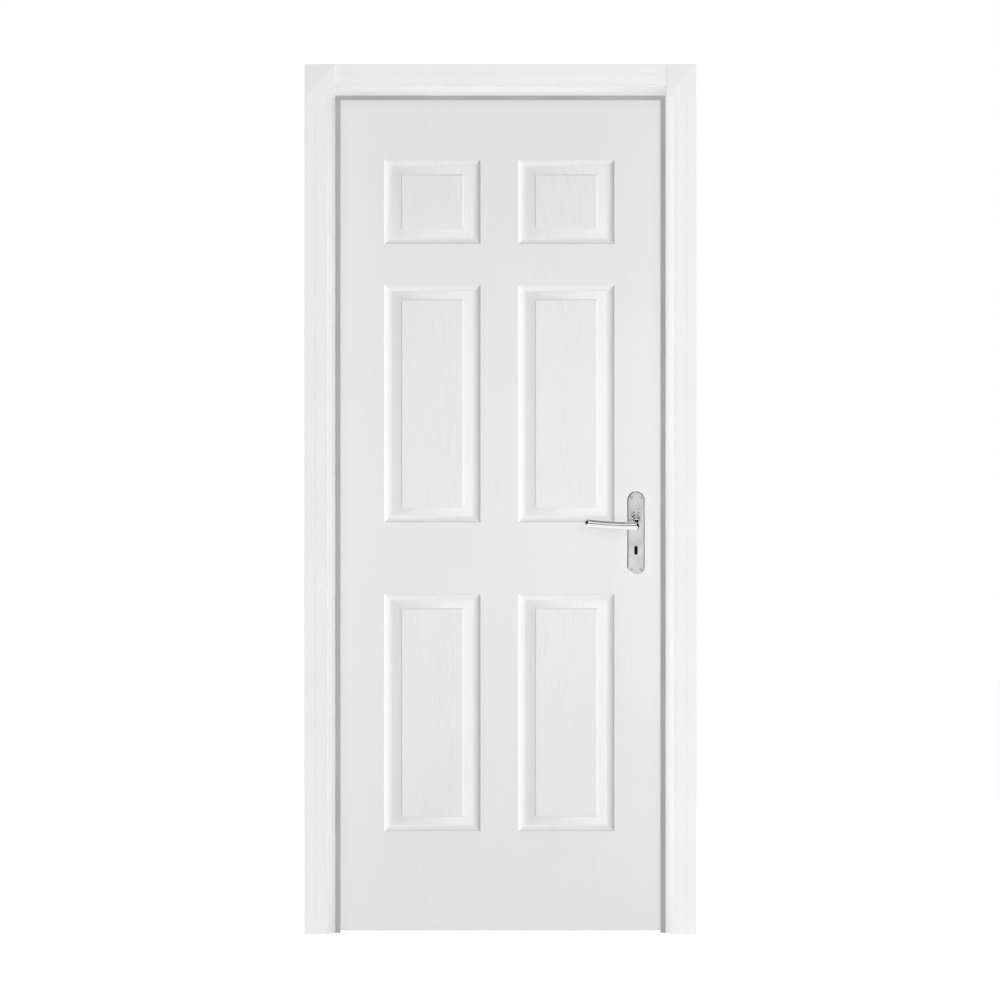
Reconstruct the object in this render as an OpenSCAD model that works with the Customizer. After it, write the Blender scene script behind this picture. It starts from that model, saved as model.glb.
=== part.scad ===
// Six-panel moulded door, hung in a splayed timber frame with casings on both sides.
// X runs across the opening, Y from the push side to the pull side, Z up from the floor.
// Lengths are in millimetres.

/* [Leaf] */
// Width of the door leaf
leaf_w = 800; // [700:1:900]
// Height of the door leaf
leaf_h = 2040; // [1900:1:2140]
// Thickness of the door leaf
leaf_t = 40; // [38:1:48]
// Thickness of each pressed skin
skin_t = 3.2; // [2:0.1:4]
// Width of the hinge stile on the face
face_hinge_stile_w = 115; // [105:1:140]
// Width of the lock stile on the face
face_lock_stile_w = 121; // [105:1:140]
// Width of the muntin between the two columns of panels
muntin_w = 92; // [70:1:130]
// Height of the top rail on the face
face_top_rail_h = 152; // [110:1:200]
// Height of the two top panels
top_panel_h = 206; // [150:1:300]
// Height of the frieze rail under the top panels
frieze_rail_h = 100; // [80:1:150]
// Height of the lock rail on the face
lock_rail_h = 175; // [140:1:220]
// Height of the bottom rail on the face
face_bottom_rail_h = 243; // [180:1:300]

/* [Panel moulding] */
// Depth of the sharp quirk round each panel
quirk_d = 1.8; // [0.8:0.1:2.5]
// Width of the quirk
quirk_w = 1.5; // [0.8:0.1:2]
// Width of the cove
cove_w = 16; // [10:0.5:18]
// Depth of the groove at the foot of the cove, from the face of the leaf
groove_d = 7.2; // [6.8:0.1:9]
// Width of the groove
groove_w = 1.5; // [1:0.1:4]
// Width of the bevel that rises to the field
bevel_w = 21; // [16:0.5:28]
// Height that the bevel rises
bevel_rise = 4.1; // [3:0.1:4.4]
// Width of the slope of the small step round the field
step_w = 4; // [2:0.1:5]
// Height of the small step round the field
step_rise = 2.3; // [1:0.1:2.4]
// Share of the moulding's width that it keeps along the rails
rail_moulding_share = 0.88; // [0.8:0.01:1]

/* [Leaf core] */
// Width of the timber stiles inside the leaf
stile_w = 34; // [30:1:45]
// Height of the timber rail inside the top of the leaf
top_rail_h = 34; // [30:1:60]
// Height of the timber rail inside the foot of the leaf
bottom_rail_h = 60; // [34:1:100]
// Width of the lock block
lock_block_w = 76; // [70:1:76]
// Height that the lock block reaches past the lock case at each end
lock_block_past = 40; // [30:1:60]

/* [Frame] */
// Gap between the leaf and the jambs
edge_gap = 4; // [3:0.5:5]
// Gap under the leaf
floor_gap = 5; // [3:1:12]
// Thickness of the jambs
jamb_t = 30; // [30:1:40]
// Depth of the jambs, from wall face to wall face
jamb_d = 100; // [95:1:140]
// Width that the reveal splays outwards on each side
splay_w = 19; // [10:1:24]
// Depth of the stop with its seal
stop_d = 14; // [10:1:20]
// Width of the side stops with their seal
stop_w = 12; // [10:1:16]
// Height of the head stop with its seal
head_stop_w = 10; // [8:1:16]
// Wall of the rubber seal that caps the stops
seal_t = 2; // [1:0.1:3]
// Radius of the wall fixing holes in the jambs
fixing_r = 4; // [3:0.5:5]
// Distance between the two wall fixing holes of a jamb
fixing_span = 1200; // [800:10:1300]
// Height of the lower wall fixing holes
fixing_low_z = 480; // [450:10:520]

/* [Casing] */
// Width of the casings on the face
casing_w = 55; // [50:1:70]
// Thickness of the casings
casing_t = 14; // [10:1:18]
// Distance of the first groove from the outer edge
casing_groove_out = 24; // [15:1:30]
// Distance of the second groove from the inner arris
casing_groove_in = 4; // [3:1:8]
// Half width and depth of the casing grooves
casing_groove_r = 1.6; // [0.8:0.1:2]
// Chamfer on the outer edge of the casings
casing_chamfer = 0.8; // [0.5:0.1:3]
// Height that the front corner blocks reach below the head
block_drop = 8; // [2:1:12]
// Thickness of the corner blocks at their edges
block_t = 15.5; // [14:0.1:22]
// Height of the raised corner of the blocks
block_crest = 2.5; // [1:0.1:4]

/* [Hinges] */
// Height of each hinge
hinge_h = 100; // [80:1:120]
// Distance of the top hinge from the top of the leaf
hinge_top_in = 150; // [120:1:250]
// Distance of the bottom hinge from the foot of the leaf
hinge_bottom_in = 180; // [150:1:300]
// Width of the hinge leaves
hinge_plate_w = 28; // [24:1:32]
// Thickness of the hinge leaves
hinge_plate_t = 2.5; // [2:0.1:3]
// Radius of the hinge barrel
barrel_r = 6.5; // [6:0.1:8]
// Distance of the hinge barrel behind the leaf
barrel_gap = 0.5; // [0.4:0.1:2]
// Radius of the hinge pin
pin_r = 3.45; // [2.5:0.05:4]
// Height of the head at each end of the hinge pin
pin_head_h = 3; // [2:0.5:5]

/* [Handle] */
// Distance of the spindle from the lock edge of the leaf
backset = 68; // [66:1:70]
// Height of the middle of the backplates above the floor
plate_mid_z = 978; // [950:1:1010]
// Width of the backplates
plate_w = 43; // [42:1:50]
// Height of the backplates
plate_h = 206; // [204:1:220]
// Thickness of the backplates
plate_t = 5; // [4:0.5:6]
// Width of the bevel round the backplates
plate_bevel_w = 3; // [2:0.5:4]
// Depth of the bevel round the backplates
plate_bevel_d = 1.8; // [1:0.1:2.5]
// Radius of the collar that carries the lever
collar_r = 13; // [12:0.5:16]
// Height of the collar
collar_h = 7; // [5:0.5:9]
// Radius of the lever's neck
neck_r = 9; // [8:0.1:10]
// Length of the straight neck from the leaf
neck_l = 28; // [26:1:32]
// Radius of the bend between neck and grip
neck_bend_r = 15; // [12:1:18]
// Distance that the grip lies below the spindle
grip_drop = 26; // [22:1:30]
// Distance of the grip's middle from the leaf
grip_out = 54; // [52:1:58]
// Length of the grip from the spindle to its tip
grip_l = 126; // [110:1:140]
// Length of the heel past the spindle
grip_heel = 8; // [6:1:12]
// Height of the grip at its middle
grip_h = 18; // [16:0.5:22]
// Depth of the grip
grip_d = 15; // [12:0.5:18]
// Height that the tip rises above the grip's middle
grip_tip_rise = 7; // [4:0.5:12]
// Side of the square spindle
spindle_s = 8; // [7:0.1:8]

/* [Lock] */
// Thickness of the lock case
case_t = 15; // [15:0.5:16]
// Wall of the lock case
case_wall = 1.5; // [1.2:0.1:1.6]
// Height of the lock case
case_h = 160; // [140:1:180]
// Distance of the spindle below the top of the lock case
spindle_in = 36.5; // [32:0.5:44]
// Distance of the keyhole above the foot of the lock case
keyhole_in = 38.5; // [34:0.5:44]
// Distance of the back of the case behind the spindle
case_back = 24; // [23:1:26]
// Width of the forend
forend_w = 22; // [20:1:24]
// Distance that the forend reaches past the lock case at each end
forend_past = 20; // [14:1:30]
// Thickness of the forend
forend_t = 3; // [2:0.1:3]
// Height of the latch bolt above the spindle
latch_up = 17; // [16.5:0.5:17.5]
// Height of the latch bolt's head
latch_h = 18; // [16:0.5:18]
// Distance that the latch bolt stands out of the forend
latch_throw = 12; // [10:0.5:12]
// Height of the dead bolt's middle above the keyhole
bolt_up = 15; // [14:0.5:16]
// Height of the dead bolt's head
bolt_h = 30; // [26:1:30]
// Throw of the dead bolt
bolt_throw = 14; // [10:0.5:14]
// Radius of the follower's hub
follower_r = 10; // [9:0.1:10]
// Width of the keyhole
keyhole_w = 8; // [7:0.1:8]
// Height of the keyhole
keyhole_h = 22; // [18:0.5:22]
// Thickness of the strike plate
strike_t = 2; // [1.5:0.1:3]
// Depth of the strike box
strike_box_d = 19; // [17:1:20]

/* [Hidden] */
// How far cuts run past the faces they open
overrun = 1;
// Radial clearance of a shaft in its bearing
run_clear = 0.05;
// Clearance of a fixed piece in its recess
seat_clear = 0.1;
// Clearance of a sliding or closing piece
slide_clear = 0.3;
// Clearance round the bolts in the strike plate
strike_clear = 1.5;

// Opening, floor and faces
half_leaf = leaf_w / 2;
half_open = half_leaf + edge_gap;
leaf_top = floor_gap + leaf_h;
head_face = leaf_top + edge_gap;
frame_edge = splay_w + casing_w;
stop_set = jamb_d - leaf_t - stop_d;
lever_out = grip_out + grip_d / 2;
jamb_front = (block_t + block_crest - jamb_d - lever_out) / 2;
jamb_back = jamb_front + jamb_d;
leaf_back = jamb_back;
leaf_front = leaf_back - leaf_t;
leaf_mid = leaf_back - leaf_t / 2;

// Hinges
hinge_out = barrel_r + barrel_gap;
hinge_x = -half_leaf - edge_gap / 2;
hinge_y = leaf_back + hinge_out;
hinge_bottom_z = floor_gap + hinge_bottom_in;
hinge_top_z = leaf_top - hinge_top_in - hinge_h;
hinge_mid_z = (hinge_bottom_z + hinge_top_z) / 2;
hinge_zs = [hinge_bottom_z, hinge_mid_z, hinge_top_z];
knuckles = 5;
knuckle_h = hinge_h / knuckles;
knuckle_gap = 0.4;
hinge_screw_z_shares = [0.16, 0.5, 0.84];
hinge_screw_y_shares = [0.38, 0.62, 0.38];
hinge_head_r = 3.8;
hinge_shank_r = 2;
hinge_screw_l = 25;

// Panels: the columns and the rows from the foot upwards
panel_w = (leaf_w - face_hinge_stile_w - face_lock_stile_w - muntin_w) / 2;
tall_panel_h = (leaf_h - face_top_rail_h - top_panel_h - frieze_rail_h - lock_rail_h
    - face_bottom_rail_h) / 2;
panel_xs = [face_hinge_stile_w - half_leaf, half_leaf - face_lock_stile_w - panel_w];
panel_zs = [
    floor_gap + face_bottom_rail_h,
    floor_gap + face_bottom_rail_h + tall_panel_h + lock_rail_h,
    leaf_top - face_top_rail_h - top_panel_h
];
panel_hs = [tall_panel_h, tall_panel_h, top_panel_h];
cove_steps = 8;
dish_d = groove_d + skin_t;

// Lock and handle
spindle_x = half_leaf - backset;
case_z = plate_mid_z - case_h / 2;
spindle_z = case_z + case_h - spindle_in;
keyhole_z = case_z + keyhole_in;
latch_z = spindle_z + latch_up;
bolt_z = keyhole_z + bolt_up;
case_front_x = half_leaf - forend_t;
case_back_x = spindle_x - case_back;
case_l = case_front_x - case_back_x;
case_inner_t = case_t - 2 * case_wall;
bolt_t = case_inner_t - 2 * slide_clear;
tail_t = bolt_t / 2;
forend_h = case_h + 2 * forend_past;
forend_z = case_z - forend_past;
plate_end_r = plate_w / 2;
plate_screw_x = 12;
plate_screw_end_in = 15;
plate_head_r = 3.8;
plate_shank_r = 1.9;
plate_screw_l = 15;
lock_screw_r = 3.6;
lock_shank_r = 1.8;
lock_screw_l = 20;
lock_screw_end_in = 8;
// Rise of a countersunk head to its radius, width of its cross and depth of the cross
head_rise_share = 0.55;
cross_share = 0.28;
cross_depth_share = 0.32;
round_fn = 48;
small_fn = 24;

frame_nodes = ["hinge_jamb", "lock_jamb", "head_jamb",
    "front_casing_left", "front_casing_right", "front_casing_head",
    "front_corner_block_left", "front_corner_block_right",
    "back_casing_left", "back_casing_right", "back_casing_head",
    "back_corner_block_left", "back_corner_block_right",
    "stop_left", "stop_right", "stop_head", "seal_left", "seal_right", "seal_head",
    "strike_plate", "strike_box", "strike_screws",
    "bottom_hinge_frame_leaf", "middle_hinge_frame_leaf", "top_hinge_frame_leaf",
    "bottom_hinge_pin", "middle_hinge_pin", "top_hinge_pin", "hinge_frame_screws"];
leaf_nodes = ["front_skin", "back_skin", "hinge_stile", "lock_stile", "top_rail", "bottom_rail",
    "lock_block", "core_slab",
    "bottom_hinge_door_leaf", "middle_hinge_door_leaf", "top_hinge_door_leaf", "hinge_door_screws",
    "lock_case", "lock_case_cover", "lock_forend", "forend_screws", "lock_levers", "latch_spring",
    "front_backplate", "back_backplate", "front_plate_screws", "back_plate_screws"];
moving_nodes = ["front_lever", "back_lever", "spindle", "follower", "lever_grub_screws",
    "latch_bolt", "dead_bolt"];

paint = "whitesmoke";
frame_paint = "white";
rubber = "darkgray";
timber = "burlywood";
steel = "silver";
chrome = "gainsboro";
brass = "goldenrod";
zinc = "lightslategray";

// Placing

// Children are drawn out of the wall along +Y, and are moved to the front face of the wall
module on_front_wall() {
    translate([0, jamb_front, 0])
        mirror([0, 1, 0])
            children();
}

// Children are drawn out of the wall along +Y, and are moved to the back face of the wall
module on_back_wall() {
    translate([0, jamb_back, 0])
        children();
}

// Children are drawn in the plane of the leaf, X and Y, and rise along Z out of its front face
module on_leaf_front() {
    translate([0, leaf_front, 0])
        rotate([90, 0, 0])
            children();
}

// The same on the back face, as a mirror image
module on_leaf_back() {
    translate([0, 2 * leaf_mid, 0])
        mirror([0, 1, 0])
            on_leaf_front()
                children();
}

// Children that rise along Z are turned to run along +X
module along_x() {
    rotate([0, 90, 0])
        children();
}

// A box between two opposite corners
module block(low, high) {
    translate(low)
        cube(high - low);
}

// Screws

// Half section of a countersunk screw, head at Z = 0 and point down, grown by a clearance
function screw_section(head_r, shank_r, length, grow) = [
    [0, 0],
    [head_r + grow, 0],
    [shank_r + grow, -(head_r - shank_r) * head_rise_share * 2],
    [shank_r + grow, shank_r - length],
    [0, -length - grow]
];

module screw(head_r, shank_r, length) {
    difference() {
        rotate_extrude($fn = small_fn)
            polygon(screw_section(head_r, shank_r, length, 0));
        for (turn = [0, 90])
            rotate([0, 0, turn])
                block([-head_r * cross_share * 2, -head_r * cross_share / 2, -head_r * cross_depth_share],
                    [head_r * cross_share * 2, head_r * cross_share / 2, overrun]);
    }
}

module screw_hole(head_r, shank_r, length) {
    union() {
        rotate_extrude($fn = small_fn)
            polygon(screw_section(head_r, shank_r, length, seat_clear));
        cylinder(h = overrun, r = head_r + seat_clear, $fn = small_fn);
    }
}

// Frame

// Offset of the splayed reveal at a height above the wall face
function splay_at(rise) = splay_w * (rise + stop_set) / (casing_t + stop_set);

jamb_section = [[splay_at(0), 0], [jamb_t, 0], [jamb_t, jamb_d], [0, jamb_d], [0, stop_set]];

// Section of a casing: outwards from the opening, then out of the wall
function casing_groove(across) = [
    [across - casing_groove_r, casing_t],
    [across, casing_t - casing_groove_r],
    [across + casing_groove_r, casing_t]
];
casing_section = concat(
    [[splay_at(0), 0], [splay_w, casing_t]],
    casing_groove(splay_w + casing_groove_in),
    casing_groove(frame_edge - casing_groove_out),
    [[frame_edge - casing_chamfer, casing_t], [frame_edge, casing_t - casing_chamfer], [frame_edge, 0]]
);

// Outline in the wall plane, extruded through the depth of the jambs
module through_jambs(outline) {
    translate([0, jamb_back + overrun, 0])
        rotate([90, 0, 0])
            linear_extrude(jamb_d + 2 * overrun)
                polygon(outline);
}

// Right-hand jamb with its mitred head, before its cuts
module jamb_bar() {
    intersection() {
        translate([half_open, jamb_front, 0])
            linear_extrude(head_face + jamb_t)
                polygon(jamb_section);
        through_jambs([
            [half_open, 0],
            [half_open + jamb_t, 0],
            [half_open + jamb_t, head_face + jamb_t],
            [half_open, head_face]
        ]);
    }
}

// Two holes for wall fixings, in the part of the right-hand jamb that the leaf hides
module wall_fixings() {
    for (z = [fixing_low_z, fixing_low_z + fixing_span])
        translate([half_open - overrun, leaf_mid, z])
            along_x()
                cylinder(h = jamb_t + 2 * overrun, r = fixing_r, $fn = round_fn);
}

module hinge_jamb() {
    color(frame_paint)
        difference() {
            mirror([1, 0, 0])
                difference() {
                    jamb_bar();
                    wall_fixings();
                }
            for (z = hinge_zs)
                translate([hinge_x, hinge_y, z])
                    mirror([1, 0, 0]) {
                        hinge_recess();
                        hinge_screw_holes();
                    }
        }
}

module lock_jamb() {
    color(frame_paint)
        difference() {
            jamb_bar();
            wall_fixings();
            block([half_open - overrun, strike_y - seat_clear, strike_low - seat_clear],
                [half_open + strike_t, jamb_back + overrun, strike_high + seat_clear]);
            block([half_open, leaf_mid - strike_box_y - seat_clear, strike_box_low - seat_clear],
                [half_open + strike_t + strike_box_d + seat_clear, leaf_mid + strike_box_y + seat_clear,
                    strike_box_high + seat_clear]);
            strike_screw_places()
                screw_hole(lock_screw_r, lock_shank_r, lock_screw_l);
        }
}

module head_jamb() {
    color(frame_paint)
        intersection() {
            translate([-half_open - jamb_t, jamb_front, head_face])
                mirror([1, 0, -1])
                    linear_extrude(2 * (half_open + jamb_t))
                        polygon(jamb_section);
            through_jambs([
                [-half_open, head_face],
                [half_open, head_face],
                [half_open + jamb_t, head_face + jamb_t],
                [-half_open - jamb_t, head_face + jamb_t]
            ]);
        }
}

// Right-hand casing leg, drawn out of the wall along +Y
module casing_leg(height) {
    color(frame_paint)
        translate([half_open, 0, 0])
            linear_extrude(height)
                polygon(casing_section);
}

// Head casing between the corner blocks
module casing_head() {
    color(frame_paint)
        translate([-half_open, 0, head_face])
            mirror([1, 0, -1])
                linear_extrude(2 * half_open)
                    polygon(casing_section);
}

// Corner block with one raised corner, so that a crease runs from corner to corner
module corner_block(left_x, low_z) {
    right_x = left_x + frame_edge;
    high_z = head_face + frame_edge;
    crest = block_t + block_crest;
    color(frame_paint)
        polyhedron(
            points = [
                [left_x, 0, low_z], [right_x, 0, low_z], [right_x, 0, high_z], [left_x, 0, high_z],
                [left_x, block_t, low_z], [right_x, block_t, low_z],
                [right_x, crest, high_z], [left_x, block_t, high_z]
            ],
            faces = [
                [3, 2, 1, 0], [4, 5, 6], [4, 6, 7],
                [0, 1, 5, 4], [1, 2, 6, 5], [2, 3, 7, 6], [3, 0, 4, 7]
            ]
        );
}

front_leg_h = head_face - block_drop;

module front_casing_left() {
    mirror([1, 0, 0])
        front_casing_right();
}

module front_casing_right() {
    on_front_wall()
        casing_leg(front_leg_h);
}

module front_casing_head() {
    on_front_wall()
        casing_head();
}

module front_corner_block_left() {
    on_front_wall()
        corner_block(-half_open - frame_edge, front_leg_h);
}

module front_corner_block_right() {
    on_front_wall()
        corner_block(half_open, front_leg_h);
}

module back_casing_left() {
    mirror([1, 0, 0])
        back_casing_right();
}

module back_casing_right() {
    on_back_wall()
        casing_leg(head_face);
}

module back_casing_head() {
    on_back_wall()
        casing_head();
}

module back_corner_block_left() {
    on_back_wall()
        corner_block(-half_open - frame_edge, head_face);
}

module back_corner_block_right() {
    on_back_wall()
        corner_block(half_open, head_face);
}

// Stops and seals: inwards from the jamb face, then from the front of the seal to the leaf
seal_d = stop_d - slide_clear;

function seal_section(width) = [
    [0, 0], [width, 0], [width, seal_d], [0, seal_d],
    [0, seal_d - seal_t], [width - seal_t, seal_d - seal_t], [width - seal_t, seal_t], [0, seal_t]
];

function stop_section(width) = [
    [0, seal_t], [width - seal_t, seal_t], [width - seal_t, seal_d - seal_t], [0, seal_d - seal_t]
];

module side_strip(section) {
    translate([half_open, jamb_front + stop_set, 0])
        mirror([1, 0, 0])
            linear_extrude(head_face - head_stop_w)
                polygon(section);
}

module head_strip(section) {
    translate([-half_open, jamb_front + stop_set, head_face])
        mirror([0, 0, 1])
            mirror([1, 0, -1])
                linear_extrude(2 * half_open)
                    polygon(section);
}

module stop_left() {
    mirror([1, 0, 0])
        stop_right();
}

module stop_right() {
    color(frame_paint)
        side_strip(stop_section(stop_w));
}

module stop_head() {
    color(frame_paint)
        head_strip(stop_section(head_stop_w));
}

module seal_left() {
    mirror([1, 0, 0])
        seal_right();
}

module seal_right() {
    color(rubber)
        side_strip(seal_section(stop_w));
}

module seal_head() {
    color(rubber)
        head_strip(seal_section(head_stop_w));
}

// Strike

strike_end = 28;
strike_lip = 3;
strike_box_wall = 1.2;
strike_y = leaf_mid - forend_w / 2;
strike_low = bolt_z - bolt_h / 2 - strike_end;
strike_high = latch_z + latch_h / 2 + strike_end;
strike_box_y = bolt_t / 2 + strike_clear + strike_box_wall;
strike_box_low = bolt_z - bolt_h / 2 - strike_clear - strike_box_wall;
strike_box_high = latch_z + latch_h / 2 + strike_clear + strike_box_wall;

module strike_screw_places() {
    for (z = [strike_low + lock_screw_end_in, strike_high - lock_screw_end_in])
        translate([half_open, leaf_mid, z])
            rotate([0, -90, 0])
                children();
}

// Openings for the two bolts, from one X to another
module bolt_openings(from_x, to_x, grow) {
    block([from_x, leaf_mid - bolt_t / 2 - grow, latch_z - latch_h / 2 - grow],
        [to_x, leaf_mid + bolt_t / 2 + grow, latch_z + latch_h / 2 + grow]);
    block([from_x, leaf_mid - bolt_t / 2 - grow, bolt_z - bolt_h / 2 - grow],
        [to_x, leaf_mid + bolt_t / 2 + grow, bolt_z + bolt_h / 2 + grow]);
}

module strike_plate() {
    color(steel)
        difference() {
            block([half_open, strike_y, strike_low],
                [half_open + strike_t, jamb_back + strike_lip, strike_high]);
            bolt_openings(half_open - overrun, half_open + strike_t + overrun, strike_clear);
            strike_screw_places()
                screw_hole(lock_screw_r, lock_shank_r, lock_screw_l);
        }
}

module strike_box() {
    back_x = half_open + strike_t + strike_box_d;
    color(zinc)
        difference() {
            block([half_open + strike_t, leaf_mid - strike_box_y, strike_box_low],
                [back_x, leaf_mid + strike_box_y, strike_box_high]);
            block([half_open, leaf_mid - strike_box_y + strike_box_wall, strike_box_low + strike_box_wall],
                [back_x - strike_box_wall, leaf_mid + strike_box_y - strike_box_wall,
                    strike_box_high - strike_box_wall]);
        }
}

module strike_screws() {
    color(steel)
        strike_screw_places()
            screw(lock_screw_r, lock_shank_r, lock_screw_l);
}

// Hinges, drawn round their axis, with the leaf of the door on the +X side

pin_cap_share = 0.8;
pin_crown_share = 0.6;
pin_cap_r = barrel_r * pin_cap_share;

module hinge_recess() {
    block([edge_gap / 2 - overrun, -hinge_out - hinge_plate_w - seat_clear, -seat_clear],
        [edge_gap / 2 + hinge_plate_t, -hinge_out + overrun, hinge_h + seat_clear]);
}

module hinge_screw_places() {
    for (i = [0 : len(hinge_screw_z_shares) - 1])
        translate([edge_gap / 2, -hinge_out - hinge_plate_w * hinge_screw_y_shares[i],
            hinge_h * hinge_screw_z_shares[i]])
            rotate([0, -90, 0])
                children();
}

module hinge_screw_holes() {
    hinge_screw_places()
        screw_hole(hinge_head_r, hinge_shank_r, hinge_screw_l);
}

// One hinge leaf with the knuckles of its own that are numbered from the foot
module hinge_leaf(own_knuckles) {
    color(steel)
        difference() {
            union() {
                block([edge_gap / 2, -hinge_out - hinge_plate_w, 0],
                    [edge_gap / 2 + hinge_plate_t, -hinge_out, hinge_h]);
                for (k = own_knuckles)
                    translate([0, 0, k * knuckle_h + knuckle_gap / 2]) {
                        block([edge_gap / 2, -hinge_out, 0],
                            [edge_gap / 2 + hinge_plate_t, 0, knuckle_h - knuckle_gap]);
                        cylinder(h = knuckle_h - knuckle_gap, r = barrel_r, $fn = round_fn);
                    }
            }
            translate([0, 0, -overrun])
                cylinder(h = hinge_h + 2 * overrun, r = pin_r + run_clear, $fn = round_fn);
            hinge_screw_holes();
        }
}

module hinge_frame_leaf(z) {
    translate([hinge_x, hinge_y, z])
        mirror([1, 0, 0])
            hinge_leaf([0 : 2 : knuckles - 1]);
}

module hinge_door_leaf(z) {
    translate([hinge_x, hinge_y, z])
        hinge_leaf([1 : 2 : knuckles - 2]);
}

// Domed cap of the pin, from its seat upwards
module pin_cap() {
    rotate_extrude($fn = round_fn)
        polygon([
            [0, 0],
            [pin_cap_r, 0],
            [pin_cap_r, pin_head_h * pin_crown_share],
            [pin_cap_r * pin_crown_share, pin_head_h],
            [0, pin_head_h]
        ]);
}

module hinge_pin(z) {
    pin_l = hinge_h - knuckle_gap;
    color(steel)
        translate([hinge_x, hinge_y, z + knuckle_gap / 2]) {
            cylinder(h = pin_l, r = pin_r, $fn = round_fn);
            translate([0, 0, pin_l])
                pin_cap();
            mirror([0, 0, 1])
                pin_cap();
        }
}

module hinge_frame_screws() {
    color(steel)
        for (z = hinge_zs)
            translate([hinge_x, hinge_y, z])
                mirror([1, 0, 0])
                    hinge_screw_places()
                        screw(hinge_head_r, hinge_shank_r, hinge_screw_l);
}

module hinge_door_screws() {
    color(steel)
        for (z = hinge_zs)
            translate([hinge_x, hinge_y, z])
                hinge_screw_places()
                    screw(hinge_head_r, hinge_shank_r, hinge_screw_l);
}

// Leaf

// Section of the panel moulding: inwards from the panel's edge, then down from the face
cove_start = 45;
cove_end = 5;

// Point of the cove, steep at its outer edge and nearly flat at its foot
function cove_point(share) =
    let (slope = cove_start + (cove_end - cove_start) * share)
    [
        quirk_w + cove_w * (sin(cove_start) - sin(slope)) / (sin(cove_start) - sin(cove_end)),
        quirk_d + (groove_d - quirk_d) * (cos(slope) - cos(cove_start)) / (cos(cove_end) - cos(cove_start))
    ];

bevel_in = quirk_w + cove_w + groove_w;
field_in = bevel_in + bevel_w;
moulding = concat(
    [[0, 0]],
    [for (i = [0 : cove_steps]) cove_point(i / cove_steps)],
    [
        [bevel_in, groove_d],
        [field_in, groove_d - bevel_rise],
        [field_in + step_w, groove_d - bevel_rise - step_rise]
    ]
);

// Ring of the moulding, which is narrower along the rails than along the stiles
function ring(width, height, inset, depth) =
    let (rail_inset = inset * rail_moulding_share)
    [
        [inset, rail_inset, -depth],
        [width - inset, rail_inset, -depth],
        [width - inset, height - rail_inset, -depth],
        [inset, height - rail_inset, -depth]
    ];

// Pressed panel: nested rings down the moulding on the face, and the same a skin's thickness below
module panel_dish(width, height) {
    count = len(moulding);
    under = 4 * count;
    polyhedron(
        points = concat(
            [for (m = moulding) each ring(width, height, m[0], m[1])],
            [for (m = moulding) each ring(width, height, m[0], m[1] + skin_t)]
        ),
        faces = concat(
            [for (k = [0 : count - 2]) for (j = [0 : 3]) let (n = (j + 1) % 4)
                [4 * k + j, 4 * k + 4 + j, 4 * k + 4 + n, 4 * k + n]],
            [for (k = [0 : count - 2]) for (j = [0 : 3]) let (n = (j + 1) % 4)
                [under + 4 * k + j, under + 4 * k + n, under + 4 * k + 4 + n, under + 4 * k + 4 + j]],
            [for (j = [0 : 3]) let (n = (j + 1) % 4) [j, n, under + n, under + j]],
            [[for (j = [3 : -1 : 0]) 4 * (count - 1) + j], [for (j = [0 : 3]) under + 4 * (count - 1) + j]]
        )
    );
}

// Keyhole outline, grown by a clearance
module keyhole_outline(grow) {
    straight = keyhole_h - keyhole_w;
    translate([spindle_x, keyhole_z]) {
        square([keyhole_w + 2 * grow, straight], center = true);
        for (y = [-straight / 2, straight / 2])
            translate([0, y])
                circle(r = keyhole_w / 2 + grow, $fn = small_fn);
    }
}

module spindle_outline() {
    translate([spindle_x, spindle_z])
        circle(r = neck_r + strike_clear, $fn = round_fn);
}

// Holes for the spindle and the key, through the whole thickness of the leaf
module furniture_holes() {
    translate([0, leaf_back + overrun, 0])
        rotate([90, 0, 0])
            linear_extrude(leaf_t + 2 * overrun) {
                spindle_outline();
                keyhole_outline(strike_clear);
            }
}

module plate_screw_places() {
    for (x = [spindle_x - plate_screw_x, spindle_x + plate_screw_x])
        for (side = [-1, 1])
            translate([x, plate_mid_z + side * (plate_h / 2 - plate_screw_end_in), plate_t])
                children();
}

// Outline in the plane of the leaf, as thick as a skin below its face
module sheet() {
    translate([0, 0, -skin_t])
        linear_extrude(skin_t)
            children();
}

// Skin in the plane of the leaf, face at Z = 0
module skin_sheet() {
    sheet()
        difference() {
            translate([-half_leaf, floor_gap])
                square([leaf_w, leaf_h]);
            for (x = panel_xs)
                for (row = [0 : len(panel_zs) - 1])
                    translate([x, panel_zs[row]])
                        square([panel_w, panel_hs[row]]);
            spindle_outline();
            keyhole_outline(strike_clear);
        }
    for (x = panel_xs)
        for (row = [0 : len(panel_zs) - 1])
            translate([x, panel_zs[row], 0])
                panel_dish(panel_w, panel_hs[row]);
}

module skin() {
    difference() {
        skin_sheet();
        plate_screw_places()
            screw_hole(plate_head_r, plate_shank_r, plate_screw_l);
    }
}

module front_skin() {
    color(paint)
        on_leaf_front()
            skin();
}

module back_skin() {
    color(paint)
        difference() {
            on_leaf_back()
                skin();
            door_hinge_recesses();
        }
}

module door_hinge_recesses() {
    for (z = hinge_zs)
        translate([hinge_x, hinge_y, z])
            hinge_recess();
}

// A timber between the skins, from one X and Z to another
module between_skins(low_x, low_z, high_x, high_z) {
    block([low_x, leaf_front + skin_t, low_z], [high_x, leaf_back - skin_t, high_z]);
}

inner_x = half_leaf - stile_w;
block_x = inner_x - lock_block_w;
block_low = case_z - lock_block_past;
block_high = case_z + case_h + lock_block_past;

module hinge_stile() {
    color(timber)
        difference() {
            between_skins(-half_leaf, floor_gap, -inner_x, leaf_top);
            door_hinge_recesses();
            for (z = hinge_zs)
                translate([hinge_x, hinge_y, z])
                    hinge_screw_holes();
        }
}

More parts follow.
